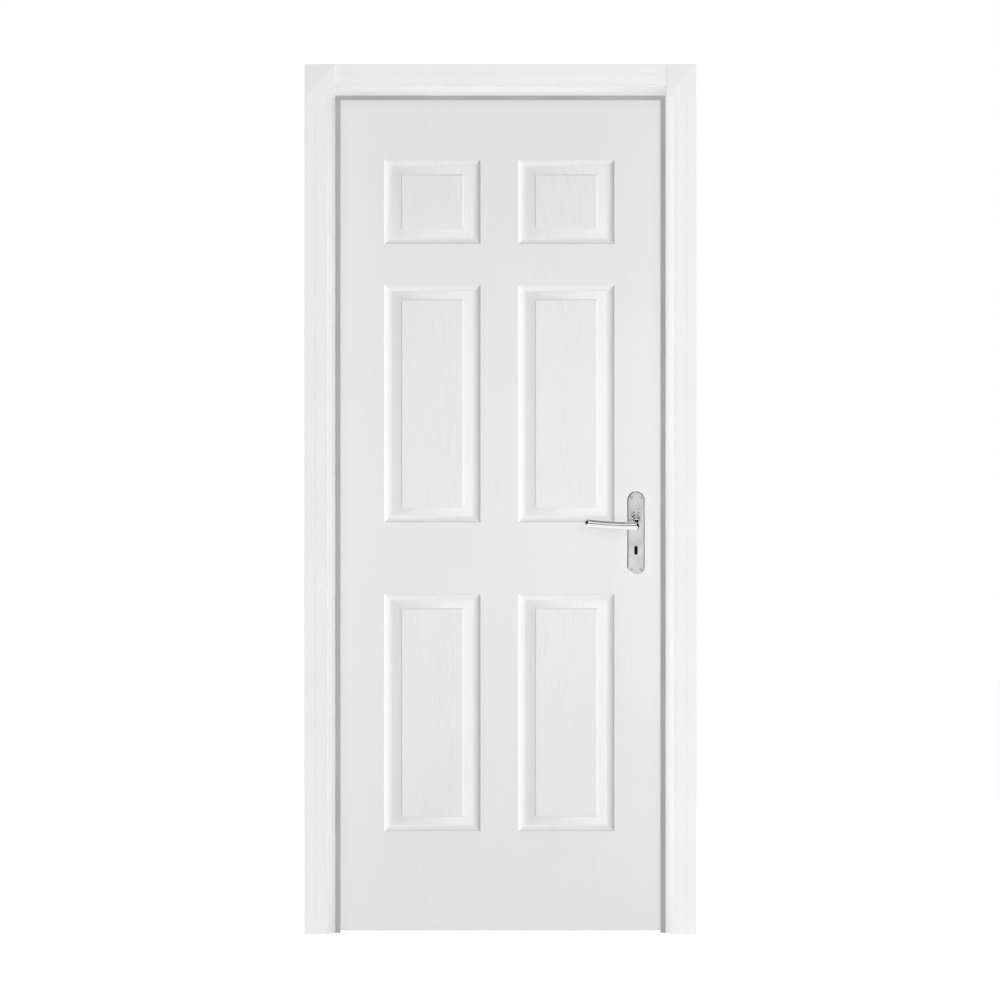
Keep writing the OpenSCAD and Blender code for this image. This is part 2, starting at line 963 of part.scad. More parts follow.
// Mortise for the lock case
module mortise() {
    block([case_back_x - seat_clear, leaf_mid - case_t / 2 - seat_clear, case_z - seat_clear],
        [half_leaf + overrun, leaf_mid + case_t / 2 + seat_clear, case_z + case_h + seat_clear]);
}

module lock_stile() {
    forend_half = forend_w / 2 + seat_clear;
    color(timber)
        difference() {
            between_skins(inner_x, floor_gap, half_leaf, leaf_top);
            mortise();
            block([case_front_x, leaf_mid - forend_half, forend_z - seat_clear],
                [half_leaf + overrun, leaf_mid + forend_half, forend_z + forend_h + seat_clear]);
            forend_screw_places()
                screw_hole(lock_screw_r, lock_shank_r, lock_screw_l);
            furniture_holes();
        }
}

module top_rail() {
    color(timber)
        between_skins(-inner_x, leaf_top - top_rail_h, inner_x, leaf_top);
}

module bottom_rail() {
    color(timber)
        between_skins(-inner_x, floor_gap, inner_x, floor_gap + bottom_rail_h);
}

module lock_block() {
    color(timber)
        difference() {
            between_skins(block_x, block_low, inner_x, block_high);
            mortise();
            furniture_holes();
            on_leaf_front()
                plate_screw_places()
                    screw_hole(plate_head_r, plate_shank_r, plate_screw_l);
            on_leaf_back()
                plate_screw_places()
                    screw_hole(plate_head_r, plate_shank_r, plate_screw_l);
        }
}

// Slab that keeps the pressed panels of the two skins apart
module core_slab() {
    half_t = leaf_t / 2 - dish_d;
    color("peru")
        difference() {
            block([-inner_x, leaf_mid - half_t, floor_gap + bottom_rail_h],
                [inner_x, leaf_mid + half_t, leaf_top - top_rail_h]);
            block([block_x, leaf_mid - half_t - overrun, block_low],
                [inner_x + overrun, leaf_mid + half_t + overrun, block_high]);
        }
}

// Lock

// Outline in the plane of the leaf, extruded along Y about the middle of the leaf
module about_mid(thickness) {
    translate([0, leaf_mid + thickness / 2, 0])
        rotate([90, 0, 0])
            linear_extrude(thickness)
                children();
}

finger_r = 3.5;
finger_neck = 4;
finger_play = 0.5;
notch_past = 3;
hook_l = 5;
tail_down = 2;
latch_nose = 2;
latch_head_in = 12;
bolt_head_l = 30;
flange_past = 2;
lug_t = 3;
spring_wire_r = 0.5;
spring_coil_r = 2.4;
spring_turns = 7;
spring_steps = 12;
spring_sides = 6;
lever_pivot_r = 2.5;
lever_pivot_in = 12;
lever_plates = 2;
latch_head_x = case_front_x - latch_head_in;
lug_x = spindle_x + follower_r + flange_past + lug_t;
spring_z = latch_z - latch_h / 2 + spring_coil_r + spring_wire_r + slide_clear;
pivot_x = case_back_x + lever_pivot_in;
pivot_z = keyhole_z - keyhole_h / 2 - lever_pivot_in;

module forend_screw_places() {
    for (z = [forend_z + lock_screw_end_in, forend_z + forend_h - lock_screw_end_in])
        translate([half_leaf, leaf_mid, z])
            rotate([0, 90, 0])
                children();
}

module lock_forend() {
    color(steel)
        difference() {
            block([case_front_x, leaf_mid - forend_w / 2, forend_z],
                [half_leaf, leaf_mid + forend_w / 2, forend_z + forend_h]);
            bolt_openings(case_front_x - overrun, half_leaf + overrun, slide_clear);
            forend_screw_places()
                screw_hole(lock_screw_r, lock_shank_r, lock_screw_l);
        }
}

module forend_screws() {
    color(steel)
        forend_screw_places()
            screw(lock_screw_r, lock_shank_r, lock_screw_l);
}

// Bearing of the follower and keyhole, cut through the lock's two plates
module case_holes() {
    about_mid(case_t + 2 * overrun) {
        translate([spindle_x, spindle_z])
            circle(r = follower_r + run_clear, $fn = round_fn);
        keyhole_outline(0);
    }
}

module lock_case() {
    color(zinc) {
        difference() {
            block([case_back_x, leaf_mid - case_t / 2 + case_wall, case_z],
                [case_front_x, leaf_mid + case_t / 2, case_z + case_h]);
            block([case_back_x + case_wall, leaf_mid - case_t / 2, case_z + case_wall],
                [case_front_x - case_wall, leaf_mid + case_t / 2 - case_wall, case_z + case_h - case_wall]);
            bolt_openings(case_front_x - case_wall - overrun, case_front_x + overrun, slide_clear);
            case_holes();
        }
        block([lug_x, leaf_mid - tail_t / 2, spring_z - spring_coil_r],
            [lug_x + lug_t, leaf_mid + case_t / 2 - case_wall, spring_z + spring_coil_r]);
        translate([pivot_x, leaf_mid + case_t / 2 - case_wall, pivot_z])
            rotate([90, 0, 0])
                cylinder(h = case_inner_t, r = lever_pivot_r, $fn = small_fn);
    }
}

module lock_case_cover() {
    color(zinc)
        difference() {
            block([case_back_x, leaf_mid - case_t / 2, case_z],
                [case_front_x, leaf_mid - case_t / 2 + case_wall, case_z + case_h]);
            case_holes();
        }
}

// Flat levers on their pivot, in front of the dead bolt's tail and behind the keyhole
module lock_levers() {
    room = (case_inner_t - tail_t) / 2 - slide_clear;
    pitch = room / lever_plates;
    reach_x = spindle_x + keyhole_w;
    color(zinc)
        for (i = [0 : lever_plates - 1])
            translate([0, leaf_mid - case_inner_t / 2 + (i + 1) * pitch, 0])
                rotate([90, 0, 0])
                    linear_extrude(pitch - seat_clear)
                        difference() {
                            union() {
                                translate([pivot_x, pivot_z])
                                    circle(r = 2 * lever_pivot_r, $fn = small_fn);
                                polygon([
                                    [pivot_x - lever_pivot_r, pivot_z],
                                    [pivot_x, pivot_z - 2 * lever_pivot_r],
                                    [reach_x, keyhole_z - keyhole_h / 2 - lever_pivot_r],
                                    [reach_x, keyhole_z + keyhole_h / 2 + lever_pivot_r],
                                    [pivot_x - lever_pivot_r, keyhole_z + keyhole_h / 2 + lever_pivot_r]
                                ]);
                            }
                            translate([pivot_x, pivot_z])
                                circle(r = lever_pivot_r + run_clear, $fn = small_fn);
                        }
}

// Latch bolt with a bevelled nose and a hooked tail that the follower's finger draws
module latch_bolt() {
    notch_left = spindle_x - finger_r - finger_play;
    color(brass) {
        translate([0, leaf_mid, latch_z - latch_h / 2])
            linear_extrude(latch_h)
                polygon([
                    [latch_head_x, -bolt_t / 2],
                    [half_leaf, -bolt_t / 2],
                    [half_leaf + latch_throw, bolt_t / 2 - latch_nose],
                    [half_leaf + latch_throw, bolt_t / 2],
                    [latch_head_x, bolt_t / 2]
                ]);
        difference() {
            block([notch_left - hook_l, leaf_mid - tail_t / 2, latch_z - tail_down],
                [latch_head_x, leaf_mid + tail_t / 2, latch_z + latch_h / 2]);
            block([notch_left, leaf_mid - tail_t, latch_z - tail_down - overrun],
                [spindle_x + finger_r + notch_past, leaf_mid + tail_t, latch_z + finger_r + finger_play]);
        }
    }
}

// Dead bolt with a thin tail, notched where the key throws it
module dead_bolt() {
    head_x = half_leaf - bolt_head_l;
    tail_low = keyhole_z + keyhole_h / 2 + finger_play;
    color(brass)
        difference() {
            union() {
                block([head_x, leaf_mid - bolt_t / 2, bolt_z - bolt_h / 2],
                    [half_leaf, leaf_mid + bolt_t / 2, bolt_z + bolt_h / 2]);
                block([case_back_x + case_wall + slide_clear, leaf_mid - tail_t / 2, tail_low],
                    [head_x, leaf_mid + tail_t / 2, bolt_z + bolt_h / 2]);
            }
            about_mid(case_t)
                translate([spindle_x, tail_low])
                    circle(r = keyhole_w, $fn = round_fn);
        }
}

// Follower: hub that turns in the case, flange between its plates, finger and square hole
module follower() {
    color(zinc)
        difference() {
            union() {
                about_mid(case_t)
                    translate([spindle_x, spindle_z])
                        circle(r = follower_r, $fn = round_fn);
                about_mid(bolt_t)
                    translate([spindle_x, spindle_z])
                        circle(r = follower_r + flange_past, $fn = round_fn);
                about_mid(tail_t - slide_clear)
                    translate([spindle_x, spindle_z]) {
                        translate([-finger_neck / 2, 0])
                            square([finger_neck, latch_up]);
                        translate([0, latch_up])
                            circle(r = finger_r, $fn = small_fn);
                    }
            }
            spindle_bar(seat_clear, overrun);
        }
}

// Points of a coil spring that runs along +X: rings of a round wire round a helix
function spring_point(length, step, side) =
    let (turn = 360 * step / spring_steps)
    let (roll = 360 * side / spring_sides)
    let (reach = spring_coil_r + spring_wire_r * cos(roll))
    [
        spring_wire_r + (length - 2 * spring_wire_r) * step / (spring_turns * spring_steps)
            + spring_wire_r * sin(roll),
        reach * cos(turn),
        reach * sin(turn)
    ];

module latch_spring() {
    start_x = lug_x + lug_t + slide_clear;
    length = latch_head_x - slide_clear - start_x;
    steps = spring_turns * spring_steps;
    color(steel)
        translate([start_x, leaf_mid, spring_z])
            polyhedron(
                points = [for (i = [0 : steps]) for (s = [0 : spring_sides - 1]) spring_point(length, i, s)],
                faces = tube_faces(steps, spring_sides)
            );
}

// Faces of a closed tube of rings, each ring of the same number of sides
function tube_faces(steps, sides) = concat(
    [for (i = [0 : steps - 1]) for (s = [0 : sides - 1]) let (n = (s + 1) % sides)
        [i * sides + s, (i + 1) * sides + s, (i + 1) * sides + n, i * sides + n]],
    [[for (s = [0 : sides - 1]) s], [for (s = [sides - 1 : -1 : 0]) steps * sides + s]]
);

// Furniture, drawn on the face of the leaf: X across, Y up, Z out of the face

// Radius and height of each step of the collar
collar_step_shares = [[1, 0.4], [0.9, 0.75], [0.82, 1]];
plate_arc_y = plate_h / 2 - plate_end_r;

// Backplate with round ends, a bevel, a stepped collar, a keyhole and four screw holes
module backplate() {
    flat_t = plate_t - plate_bevel_d;
    top_r = plate_end_r - plate_bevel_w;
    difference() {
        union() {
            translate([spindle_x, plate_mid_z, 0]) {
                for (side = [-1, 1])
                    translate([0, side * plate_arc_y, 0]) {
                        cylinder(h = flat_t, r = plate_end_r, $fn = 2 * round_fn);
                        translate([0, 0, flat_t])
                            cylinder(h = plate_bevel_d, r1 = plate_end_r, r2 = top_r, $fn = 2 * round_fn);
                    }
                translate([0, plate_arc_y, 0])
                    rotate([90, 0, 0])
                        linear_extrude(2 * plate_arc_y)
                            polygon([
                                [-plate_end_r, 0], [plate_end_r, 0], [plate_end_r, flat_t],
                                [top_r, plate_t], [-top_r, plate_t], [-plate_end_r, flat_t]
                            ]);
            }
            for (step = collar_step_shares)
                translate([spindle_x, spindle_z, 0])
                    cylinder(h = plate_t + collar_h * step[1], r = collar_r * step[0], $fn = round_fn);
        }
        translate([spindle_x, spindle_z, -overrun])
            cylinder(h = plate_t + collar_h + 2 * overrun, r = neck_r + run_clear, $fn = round_fn);
        translate([0, 0, -overrun])
            linear_extrude(plate_t + 2 * overrun)
                keyhole_outline(0);
        plate_screw_places()
            screw_hole(plate_head_r, plate_shank_r, plate_screw_l);
    }
}

module front_backplate() {
    color(steel)
        on_leaf_front()
            backplate();
}

module back_backplate() {
    color(steel)
        on_leaf_back()
            backplate();
}

module plate_screws() {
    plate_screw_places()
        screw(plate_head_r, plate_shank_r, plate_screw_l);
}

module front_plate_screws() {
    color(chrome)
        on_leaf_front()
            plate_screws();
}

module back_plate_screws() {
    color(chrome)
        on_leaf_back()
            plate_screws();
}

// Grip: rings of an ellipse from the rounded heel to the rounded tip
grip_sides = 28;
grip_end_rings = 5;
grip_mid_rings = 12;
grip_start_share = 0.35;
grip_flare_share = 0.13;
grip_return = 5;
grip_span = grip_l + grip_heel;
neck_start_share = 0.98;
neck_end_share = 0.8;
neck_lap = 2;

function end_turn(i) = 90 * (i + grip_start_share) / (grip_end_rings + grip_start_share);

// Distance of each ring from the heel, and the share of the full section that it has
grip_stations = concat(
    [for (i = [0 : grip_end_rings]) [grip_heel * (1 - cos(end_turn(i))), sin(end_turn(i))]],
    [for (i = [1 : grip_mid_rings - 1])
        [grip_heel + (grip_span - grip_heel - grip_h / 2) * i / grip_mid_rings, 1]],
    [for (i = [grip_end_rings : -1 : 0])
        [grip_span - grip_h / 2 * (1 - cos(end_turn(i))), sin(end_turn(i))]]
);

function grip_point(station, side) =
    let (x = grip_heel - station[0])
    let (along = max(0, -x / grip_l))
    let (flare = 1 + grip_flare_share * pow(2 * along - 1, 2))
    let (turn = -360 * side / grip_sides)
    [
        x,
        -grip_drop + grip_tip_rise * along * along + grip_h / 2 * flare * station[1] * cos(turn),
        grip_out - grip_return * along * along + grip_d / 2 * station[1] * sin(turn)
    ];

// Turn of the bend that aims the neck at the middle of the grip
neck_rest = [grip_drop - neck_bend_r, grip_out - neck_l];
neck_turn = acos(-neck_bend_r / norm(neck_rest)) - atan2(neck_rest[1], neck_rest[0]);
neck_end = [neck_bend_r * (1 - cos(neck_turn)), neck_l + neck_bend_r * sin(neck_turn)];
grub_r = 2;
grub_z = neck_l - 2 * grub_r;
socket_l = neck_l - grub_r / 2;

// Square bar of the spindle, grown by a clearance and lengthened at each end
module spindle_bar(grow, longer) {
    half = spindle_s / 2 + grow;
    block([spindle_x - half, leaf_front - socket_l + finger_play - longer, spindle_z - half],
        [spindle_x + half, leaf_back + socket_l - finger_play + longer, spindle_z + half]);
}

// Lever: straight neck, bend, raking shank and grip
module lever() {
    difference() {
        translate([spindle_x, spindle_z, 0]) {
            translate([0, 0, slide_clear])
                cylinder(h = neck_l - slide_clear, r = neck_r, $fn = round_fn);
            translate([0, -neck_bend_r, neck_l])
                rotate([90, 0, 90])
                    rotate_extrude(angle = neck_turn, $fn = round_fn)
                        translate([neck_bend_r, 0])
                            circle(r = neck_r, $fn = round_fn);
            translate([0, -neck_end[0], neck_end[1]])
                rotate([neck_turn, 0, 0])
                    translate([0, 0, -neck_lap])
                        cylinder(h = neck_lap + norm([grip_drop - neck_end[0], grip_out - neck_end[1]]),
                            r1 = neck_r * neck_start_share, r2 = neck_r * neck_end_share, $fn = round_fn);
            polyhedron(
                points = [for (s = grip_stations) for (i = [0 : grip_sides - 1]) grip_point(s, i)],
                faces = tube_faces(len(grip_stations) - 1, grip_sides)
            );
        }
        spindle_socket();
        translate([spindle_x, spindle_z, grub_z])
            rotate([90, 0, 0])
                cylinder(h = neck_r + overrun, r = grub_r + run_clear, $fn = small_fn);
    }
}

// Square socket in the neck, with a clearance
module spindle_socket() {
    half = spindle_s / 2 + seat_clear;
    block([spindle_x - half, spindle_z - half, -overrun], [spindle_x + half, spindle_z + half, socket_l]);
}

module front_lever() {
    color(chrome)
        on_leaf_front()
            lever();
}

module back_lever() {
    color(chrome)
        on_leaf_back()
            lever();
}

module spindle() {
    color(zinc)
        spindle_bar(0, 0);
}

// Grub screw under a neck, from the spindle to just below the neck's surface
module grub_screw() {
    translate([spindle_x, spindle_z - spindle_s / 2 - seat_clear, grub_z])
        rotate([90, 0, 0])
            cylinder(h = neck_r - spindle_s / 2 - grub_r / 2, r = grub_r, $fn = small_fn);
}

module lever_grub_screws() {
    color(zinc) {
        on_leaf_front()
            grub_screw();
        on_leaf_back()
            grub_screw();
    }
}

hinge_jamb();
lock_jamb();
head_jamb();
front_casing_left();
front_casing_right();
front_casing_head();
front_corner_block_left();
front_corner_block_right();
back_casing_left();
back_casing_right();
back_casing_head();
back_corner_block_left();
back_corner_block_right();
stop_left();
stop_right();
stop_head();
seal_left();
seal_right();
seal_head();
strike_plate();
strike_box();
strike_screws();
hinge_frame_leaf(hinge_bottom_z);  // bottom_hinge_frame_leaf
hinge_frame_leaf(hinge_mid_z);  // middle_hinge_frame_leaf
hinge_frame_leaf(hinge_top_z);  // top_hinge_frame_leaf
hinge_pin(hinge_bottom_z);  // bottom_hinge_pin
hinge_pin(hinge_mid_z);  // middle_hinge_pin
hinge_pin(hinge_top_z);  // top_hinge_pin
hinge_frame_screws();
front_skin();
back_skin();
hinge_stile();
lock_stile();
top_rail();
bottom_rail();
lock_block();
core_slab();
hinge_door_leaf(hinge_bottom_z);  // bottom_hinge_door_leaf
hinge_door_leaf(hinge_mid_z);  // middle_hinge_door_leaf
hinge_door_leaf(hinge_top_z);  // top_hinge_door_leaf
hinge_door_screws();
lock_case();
lock_case_cover();
lock_forend();
forend_screws();
lock_levers();
latch_spring();
front_backplate();
back_backplate();
front_plate_screws();
back_plate_screws();
front_lever();
back_lever();
spindle();
follower();
lever_grub_screws();
latch_bolt();
dead_bolt();
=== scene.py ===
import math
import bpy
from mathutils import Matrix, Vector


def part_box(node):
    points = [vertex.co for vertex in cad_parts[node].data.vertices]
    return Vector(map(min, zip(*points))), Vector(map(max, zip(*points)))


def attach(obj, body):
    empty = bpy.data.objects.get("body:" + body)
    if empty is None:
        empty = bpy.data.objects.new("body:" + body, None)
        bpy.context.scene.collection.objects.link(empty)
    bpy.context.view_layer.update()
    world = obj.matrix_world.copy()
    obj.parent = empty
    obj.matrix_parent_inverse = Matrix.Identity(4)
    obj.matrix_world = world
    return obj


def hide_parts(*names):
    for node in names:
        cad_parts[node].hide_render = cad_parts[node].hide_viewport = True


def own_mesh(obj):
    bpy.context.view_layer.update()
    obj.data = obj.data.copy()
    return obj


bl_info = {
    "name": "Panelled Door Finish",
    "version": (1, 0, 0),
    "blender": (4, 5, 0),
    "location": "View3D > Sidebar > Door",
    "description": "Paints a panelled door and its frame, finishes its metalwork and sets a studio round it",
    "category": "Object",
}

import bmesh
import bpy
from bpy.props import FloatProperty, FloatVectorProperty, PointerProperty
from mathutils import Vector

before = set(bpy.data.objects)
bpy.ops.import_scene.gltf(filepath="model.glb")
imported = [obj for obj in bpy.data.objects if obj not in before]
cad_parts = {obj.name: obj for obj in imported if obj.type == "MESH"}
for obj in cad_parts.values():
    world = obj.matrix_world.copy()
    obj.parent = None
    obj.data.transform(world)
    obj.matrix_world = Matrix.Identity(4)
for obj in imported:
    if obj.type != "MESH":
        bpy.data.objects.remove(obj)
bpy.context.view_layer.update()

# Pieces of the door, by the finish that they take
SKINS = ("front_skin", "back_skin")
LEAF_EDGES = ("hinge_stile", "lock_stile", "top_rail", "bottom_rail")
UPRIGHTS = (
    "hinge_jamb", "lock_jamb", "stop_left", "stop_right",
    "front_casing_left", "front_casing_right", "back_casing_left", "back_casing_right",
)
HEADS = ("head_jamb", "stop_head", "front_casing_head", "back_casing_head")
CORNER_BLOCKS = tuple(
    f"{face}_corner_block_{side}" for face in ("front", "back") for side in ("left", "right")
)
SEALS = ("seal_left", "seal_right", "seal_head")
HINGE_PLACES = ("bottom", "middle", "top")
HINGES = tuple(
    f"{place}_hinge_{piece}" for place in HINGE_PLACES for piece in ("frame_leaf", "door_leaf", "pin")
)
HINGE_SCREWS = ("hinge_frame_screws", "hinge_door_screws")
LOCK_CASE = ("lock_case", "lock_case_cover", "strike_box")
LOCK_FACES = ("lock_forend", "strike_plate")
LOCK_SCREWS = ("forend_screws", "strike_screws")
BOLTS = ("latch_bolt", "dead_bolt")
BACKPLATES = ("front_backplate", "back_backplate")
PLATE_SCREWS = ("front_plate_screws", "back_plate_screws")
LEVERS = ("front_lever", "back_lever")
HANDLE_CORE = ("spindle", "follower", "lever_grub_screws")
WHITE = (1.0, 1.0, 1.0, 1.0)
BLACK = (0.0, 0.0, 0.0, 1.0)
CHARCOAL = (0.01, 0.01, 0.01, 1.0)


# Settings


def colour(name, description, default):
    return FloatVectorProperty(
        name=name, description=description, default=default, subtype="COLOR", size=3, min=0.0, max=1.0
    )


def length(name, description, default):
    return FloatProperty(name=name, description=description, default=default, unit="LENGTH", min=0.0)


def angle(name, description, degrees):
    return FloatProperty(name=name, description=description, default=math.radians(degrees), subtype="ANGLE")


def share(name, description, default, highest=1.0):
    return FloatProperty(
        name=name, description=description, default=default, subtype="FACTOR", min=0.0, max=highest
    )


def power(name, description, default):
    return FloatProperty(name=name, description=description, default=default, unit="POWER", min=0.0)


class DoorPaint(bpy.types.PropertyGroup):
    """Paint of the leaf and the frame, and the rubber of the seals"""

    leaf_colour: colour("Leaf", "Satin paint of the pressed skins", (0.83, 0.83, 0.825))
    edge_colour: colour("Leaf edges", "Paint on the edges of the leaf", (0.80, 0.80, 0.79))
    frame_colour: colour("Frame", "Paint of jambs, stops and casings", (0.85, 0.85, 0.845))
    rubber_colour: colour("Seals", "Grey rubber of the seals", (0.38, 0.373, 0.37))
    board_colour: colour("Core", "Board inside the leaf", (0.42, 0.30, 0.19))
    leaf_roughness: share("Leaf roughness", "Roughness of the satin paint", 0.42)
    frame_roughness: share("Frame roughness", "Roughness of the frame paint", 0.38)
    grain_depth: length("Grain depth", "Depth of the grain pressed into the skins", 0.00014)
    face_grain: share("Face grain", "Strength of the grain on stiles and rails, in the panels one", 0.42)
    peel_depth: length("Peel depth", "Depth of the fine ripple in the paint", 0.00003)
    stroke_depth: length("Stroke depth", "Depth of the brush strokes on the frame", 0.000005)
    arris: length("Arris", "Width of the softened edges of painted pieces", 0.0007)


class DoorMetal(bpy.types.PropertyGroup):
    """Metal of the handle, the lock and the hinges"""

    plate_colour: colour("Backplates", "Satin metal of the backplates", (0.92, 0.93, 0.93))
    chrome_colour: colour("Levers", "Polished chrome of the levers", (0.86, 0.87, 0.88))
    hinge_colour: colour("Hinges", "Brushed steel of the hinges", (0.62, 0.62, 0.61))
    lock_colour: colour("Lock faces", "Satin steel of forend and strike", (0.60, 0.60, 0.60))
    zinc_colour: colour("Lock case", "Zinc plate on the lock case", (0.48, 0.50, 0.53))
    brass_colour: colour("Bolts", "Brass of the bolts", (0.72, 0.53, 0.27))
    # Oiled steel of the lock levers, darkened to near black as painted shade so the keyhole in the plates
    # reads dark
    keyhole_shade_colour: colour("Lock levers", "Oiled steel of the levers in the lock", (0.03, 0.03, 0.03))
    plate_roughness: share("Plate roughness", "Roughness of the satin plates", 0.34)
    chrome_roughness: share("Chrome roughness", "Roughness of the polished levers", 0.05)
    brush_depth: length("Brush depth", "Depth of the brush lines in the metal", 0.00002)
    edge: length("Edge", "Width of the broken edges of metal pieces", 0.0003)
    bead: length("Neck bead", "Half the width of the beads on the necks", 0.0022)
    lever_voxel: length("Lever cell", "Cell size that blends the neck of a lever into its grip", 0.0007)


class DoorStage(bpy.types.PropertyGroup):
    """Camera, floor and light"""

    camera_distance: length("Camera distance", "Distance of the camera from the leaf", 20.0)
    camera_height: length("Camera height", "Height of the camera above the floor", 1.0596)
    camera_side: FloatProperty(
        name="Camera side", description="Place of the camera across the door", default=-0.0012, unit="LENGTH"
    )
    view_width: length("View width", "Width of the picture at the face of the leaf", 2.4497)
    floor_size: length("Floor", "Side of the square floor", 60.0)
    floor_colour: colour("Floor colour", "Pale floor", (0.3, 0.3, 0.3))
    floor_lift: share("Floor lift", "Light that the eye sees on the floor beyond the lamps", 0.92)
    sky_level: share("Sky level", "Even light from all round", 0.28)
    leaf_key: share("Leaf key", "Light of the leaf's key lamp on a face square to it", 0.725, 4.0)
    leaf_key_turn: angle("Leaf key turn", "Angle of the leaf's key lamp from the leaf's normal", 57)
    leaf_key_drop: angle("Leaf key drop", "Angle of the leaf's key lamp below the horizon", 14)
    leaf_front: share("Leaf front", "Light of the leaf's front lamp on a face square to it", 0.234, 4.0)
    frame_front: share("Frame front", "Light of the frame's front lamp on a face square to it", 0.74, 4.0)
    block_key: share("Block key", "Light of the corner blocks' lamp on a face square to it", 1.30, 4.0)
    block_key_turn: angle("Block key turn", "Angle of the corner blocks' lamp from the leaf's normal", 46)
    block_key_drop: angle("Block key drop", "Angle of the corner blocks' lamp below the horizon", 38)
    left_power: power("Left reveal", "Power of the strip that lights the left side of the reveal", 3.2)
    right_power: power("Right reveal", "Power of the strip that lights the right side of the reveal", 4.9)
    head_power: power("Head power", "Power of the strip that lights the head of the reveal", 1.75)
    fill_power: power("Fill power", "Power of the soft lamp before the leaf", 4.6)
    fill_side: length("Fill side", "Place of the leaf's soft lamp to the right of the middle", 0.3)
    fill_distance: length("Fill distance", "Distance of the leaf's soft lamp from the leaf", 1.35)
    side_power: power("Side power", "Power of the soft lamp to the right of the frame", 34.0)
    side_place: length("Side place", "Place of the frame's soft lamp to the right of the middle", 3.0)
    lamp_distance: length("Lamp distance", "Distance of the other soft lamps from the leaf", 2.6)
    lamp_size: length("Lamp size", "Side of the soft lamps", 1.2)
    back_power: power("Back power", "Power of the soft lamp behind the door", 480.0)
    back_place: length("Back place", "Distance of the back lamp to the right of the door and behind it", 5.0)
    back_lift: share("Back lift", "Height of the back lamp over the camera, as a share of its distance", 0.3)


# Shader nodes


def feed(tree, node, inputs):
    """Links or sets the inputs of a node"""
    for name, value in inputs.items():
        if isinstance(value, bpy.types.NodeSocket):
            tree.links.new(value, node.inputs[name])
        else:
            node.inputs[name].default_value = value


def add(tree, kind, inputs=None, **settings):
    """A node with its settings made and its inputs fed"""
    made = tree.nodes.new(kind)
    for name, value in settings.items():
        setattr(made, name, value)
    feed(tree, made, inputs or {})
    return made


def maths(tree, operation, first, second=0.0, third=0.0):
    return add(tree, "ShaderNodeMath", {0: first, 1: second, 2: third}, operation=operation).outputs[0]


def spread(tree, value, low, high, to_low=0.0, to_high=1.0):
    """A value taken smoothly from one range to another"""
    sockets = {"Value": value, "From Min": low, "From Max": high, "To Min": to_low, "To Max": to_high}
    return add(tree, "ShaderNodeMapRange", sockets, interpolation_type="SMOOTHSTEP").outputs["Result"]


def stretch(tree, place, scale):
    return add(tree, "ShaderNodeVectorMath", {0: place, 1: scale}, operation="MULTIPLY").outputs[0]


def distance(tree, place, ways, centre):
    """Distance from a centre, counted along the given ways only"""
    sockets = {0: stretch(tree, place, ways), 1: centre}
    return add(tree, "ShaderNodeVectorMath", sockets, operation="DISTANCE").outputs["Value"]


def noise(tree, place, scale, detail=2.0, roughness=0.5):
    sockets = {"Vector": place, "Scale": scale, "Detail": detail, "Roughness": roughness}
    return add(tree, "ShaderNodeTexNoise", sockets).outputs["Fac"]


def tint(tree, factor, first, second):
    """A colour between two colours, from the sockets that a mix node keeps for colours"""
    return add(tree, "ShaderNodeMix", {0: factor, 6: first, 7: second}, data_type="RGBA").outputs[2]


def opaque(rgb, level=1.0):
    return (rgb[0] * level, rgb[1] * level, rgb[2] * level, 1.0)


def new_group(name, inputs, outputs):
    """An empty node group with named sockets, and its inner ends"""
    tree = bpy.data.node_groups.new(name, "ShaderNodeTree")
    for label, kind, default in inputs:
        socket = tree.interface.new_socket(label, in_out="INPUT", socket_type=kind)
        if default is not None:
            socket.default_value = default
    for label in outputs:
        tree.interface.new_socket(label, in_out="OUTPUT", socket_type="NodeSocketFloat")
    given = tree.nodes.new("NodeGroupInput").outputs
    wanted = tree.nodes.new("NodeGroupOutput").inputs
    return tree, given, wanted


def pressed_grain():
    """Grain pressed into the skins: long arched rings and short upright pores"""
    tree, given, wanted = new_group(
        "Pressed Grain",
        [
            ("Vector", "NodeSocketVector", None),
            ("Figure", "NodeSocketFloat", 7.0),
            ("Rings", "NodeSocketFloat", 22.0),
            ("Pores", "NodeSocketFloat", 190.0),
        ],
        ["Height", "Tone"],
    )
    figure = noise(tree, stretch(tree, given["Vector"], (1.0, 1.0, 0.11)), given["Figure"], 1.5)
    ring = maths(tree, "PINGPONG", maths(tree, "MULTIPLY", figure, given["Rings"]), 0.5)
    ring = spread(tree, ring, 0.05, 0.45)
    pore = noise(tree, stretch(tree, given["Vector"], (1.0, 1.0, 0.09)), given["Pores"], 2.0)
    pore = spread(tree, pore, 0.42, 0.62)
    patch = spread(tree, noise(tree, stretch(tree, given["Vector"], (1.0, 1.0, 0.25)), 14.0), 0.35, 0.65)
    lines = maths(tree, "MULTIPLY", maths(tree, "MULTIPLY", ring, pore), patch)
    height = maths(tree, "ADD", maths(tree, "MULTIPLY", lines, 0.75), maths(tree, "MULTIPLY", pore, 0.25))
    tree.links.new(height, wanted["Height"])
    tree.links.new(lines, wanted["Tone"])
    return tree


def paint_film():
    """Paint film: cloudy gloss, a fine ripple and strokes drawn along the piece"""
    tree, given, wanted = new_group(
        "Paint Film",
        [
            ("Vector", "NodeSocketVector", None),
            ("Along", "NodeSocketVector", (1.0, 1.0, 0.02)),
            ("Peel", "NodeSocketFloat", 900.0),
        ],
        ["Cloud", "Peel", "Stroke"],
    )
    tree.links.new(spread(tree, noise(tree, given["Vector"], 5.0, 3.0), 0.3, 0.7), wanted["Cloud"])
    tree.links.new(noise(tree, given["Vector"], given["Peel"], 1.0), wanted["Peel"])
    drawn = stretch(tree, given["Vector"], given["Along"])
    tree.links.new(noise(tree, drawn, 480.0, 3.0), wanted["Stroke"])
    return tree


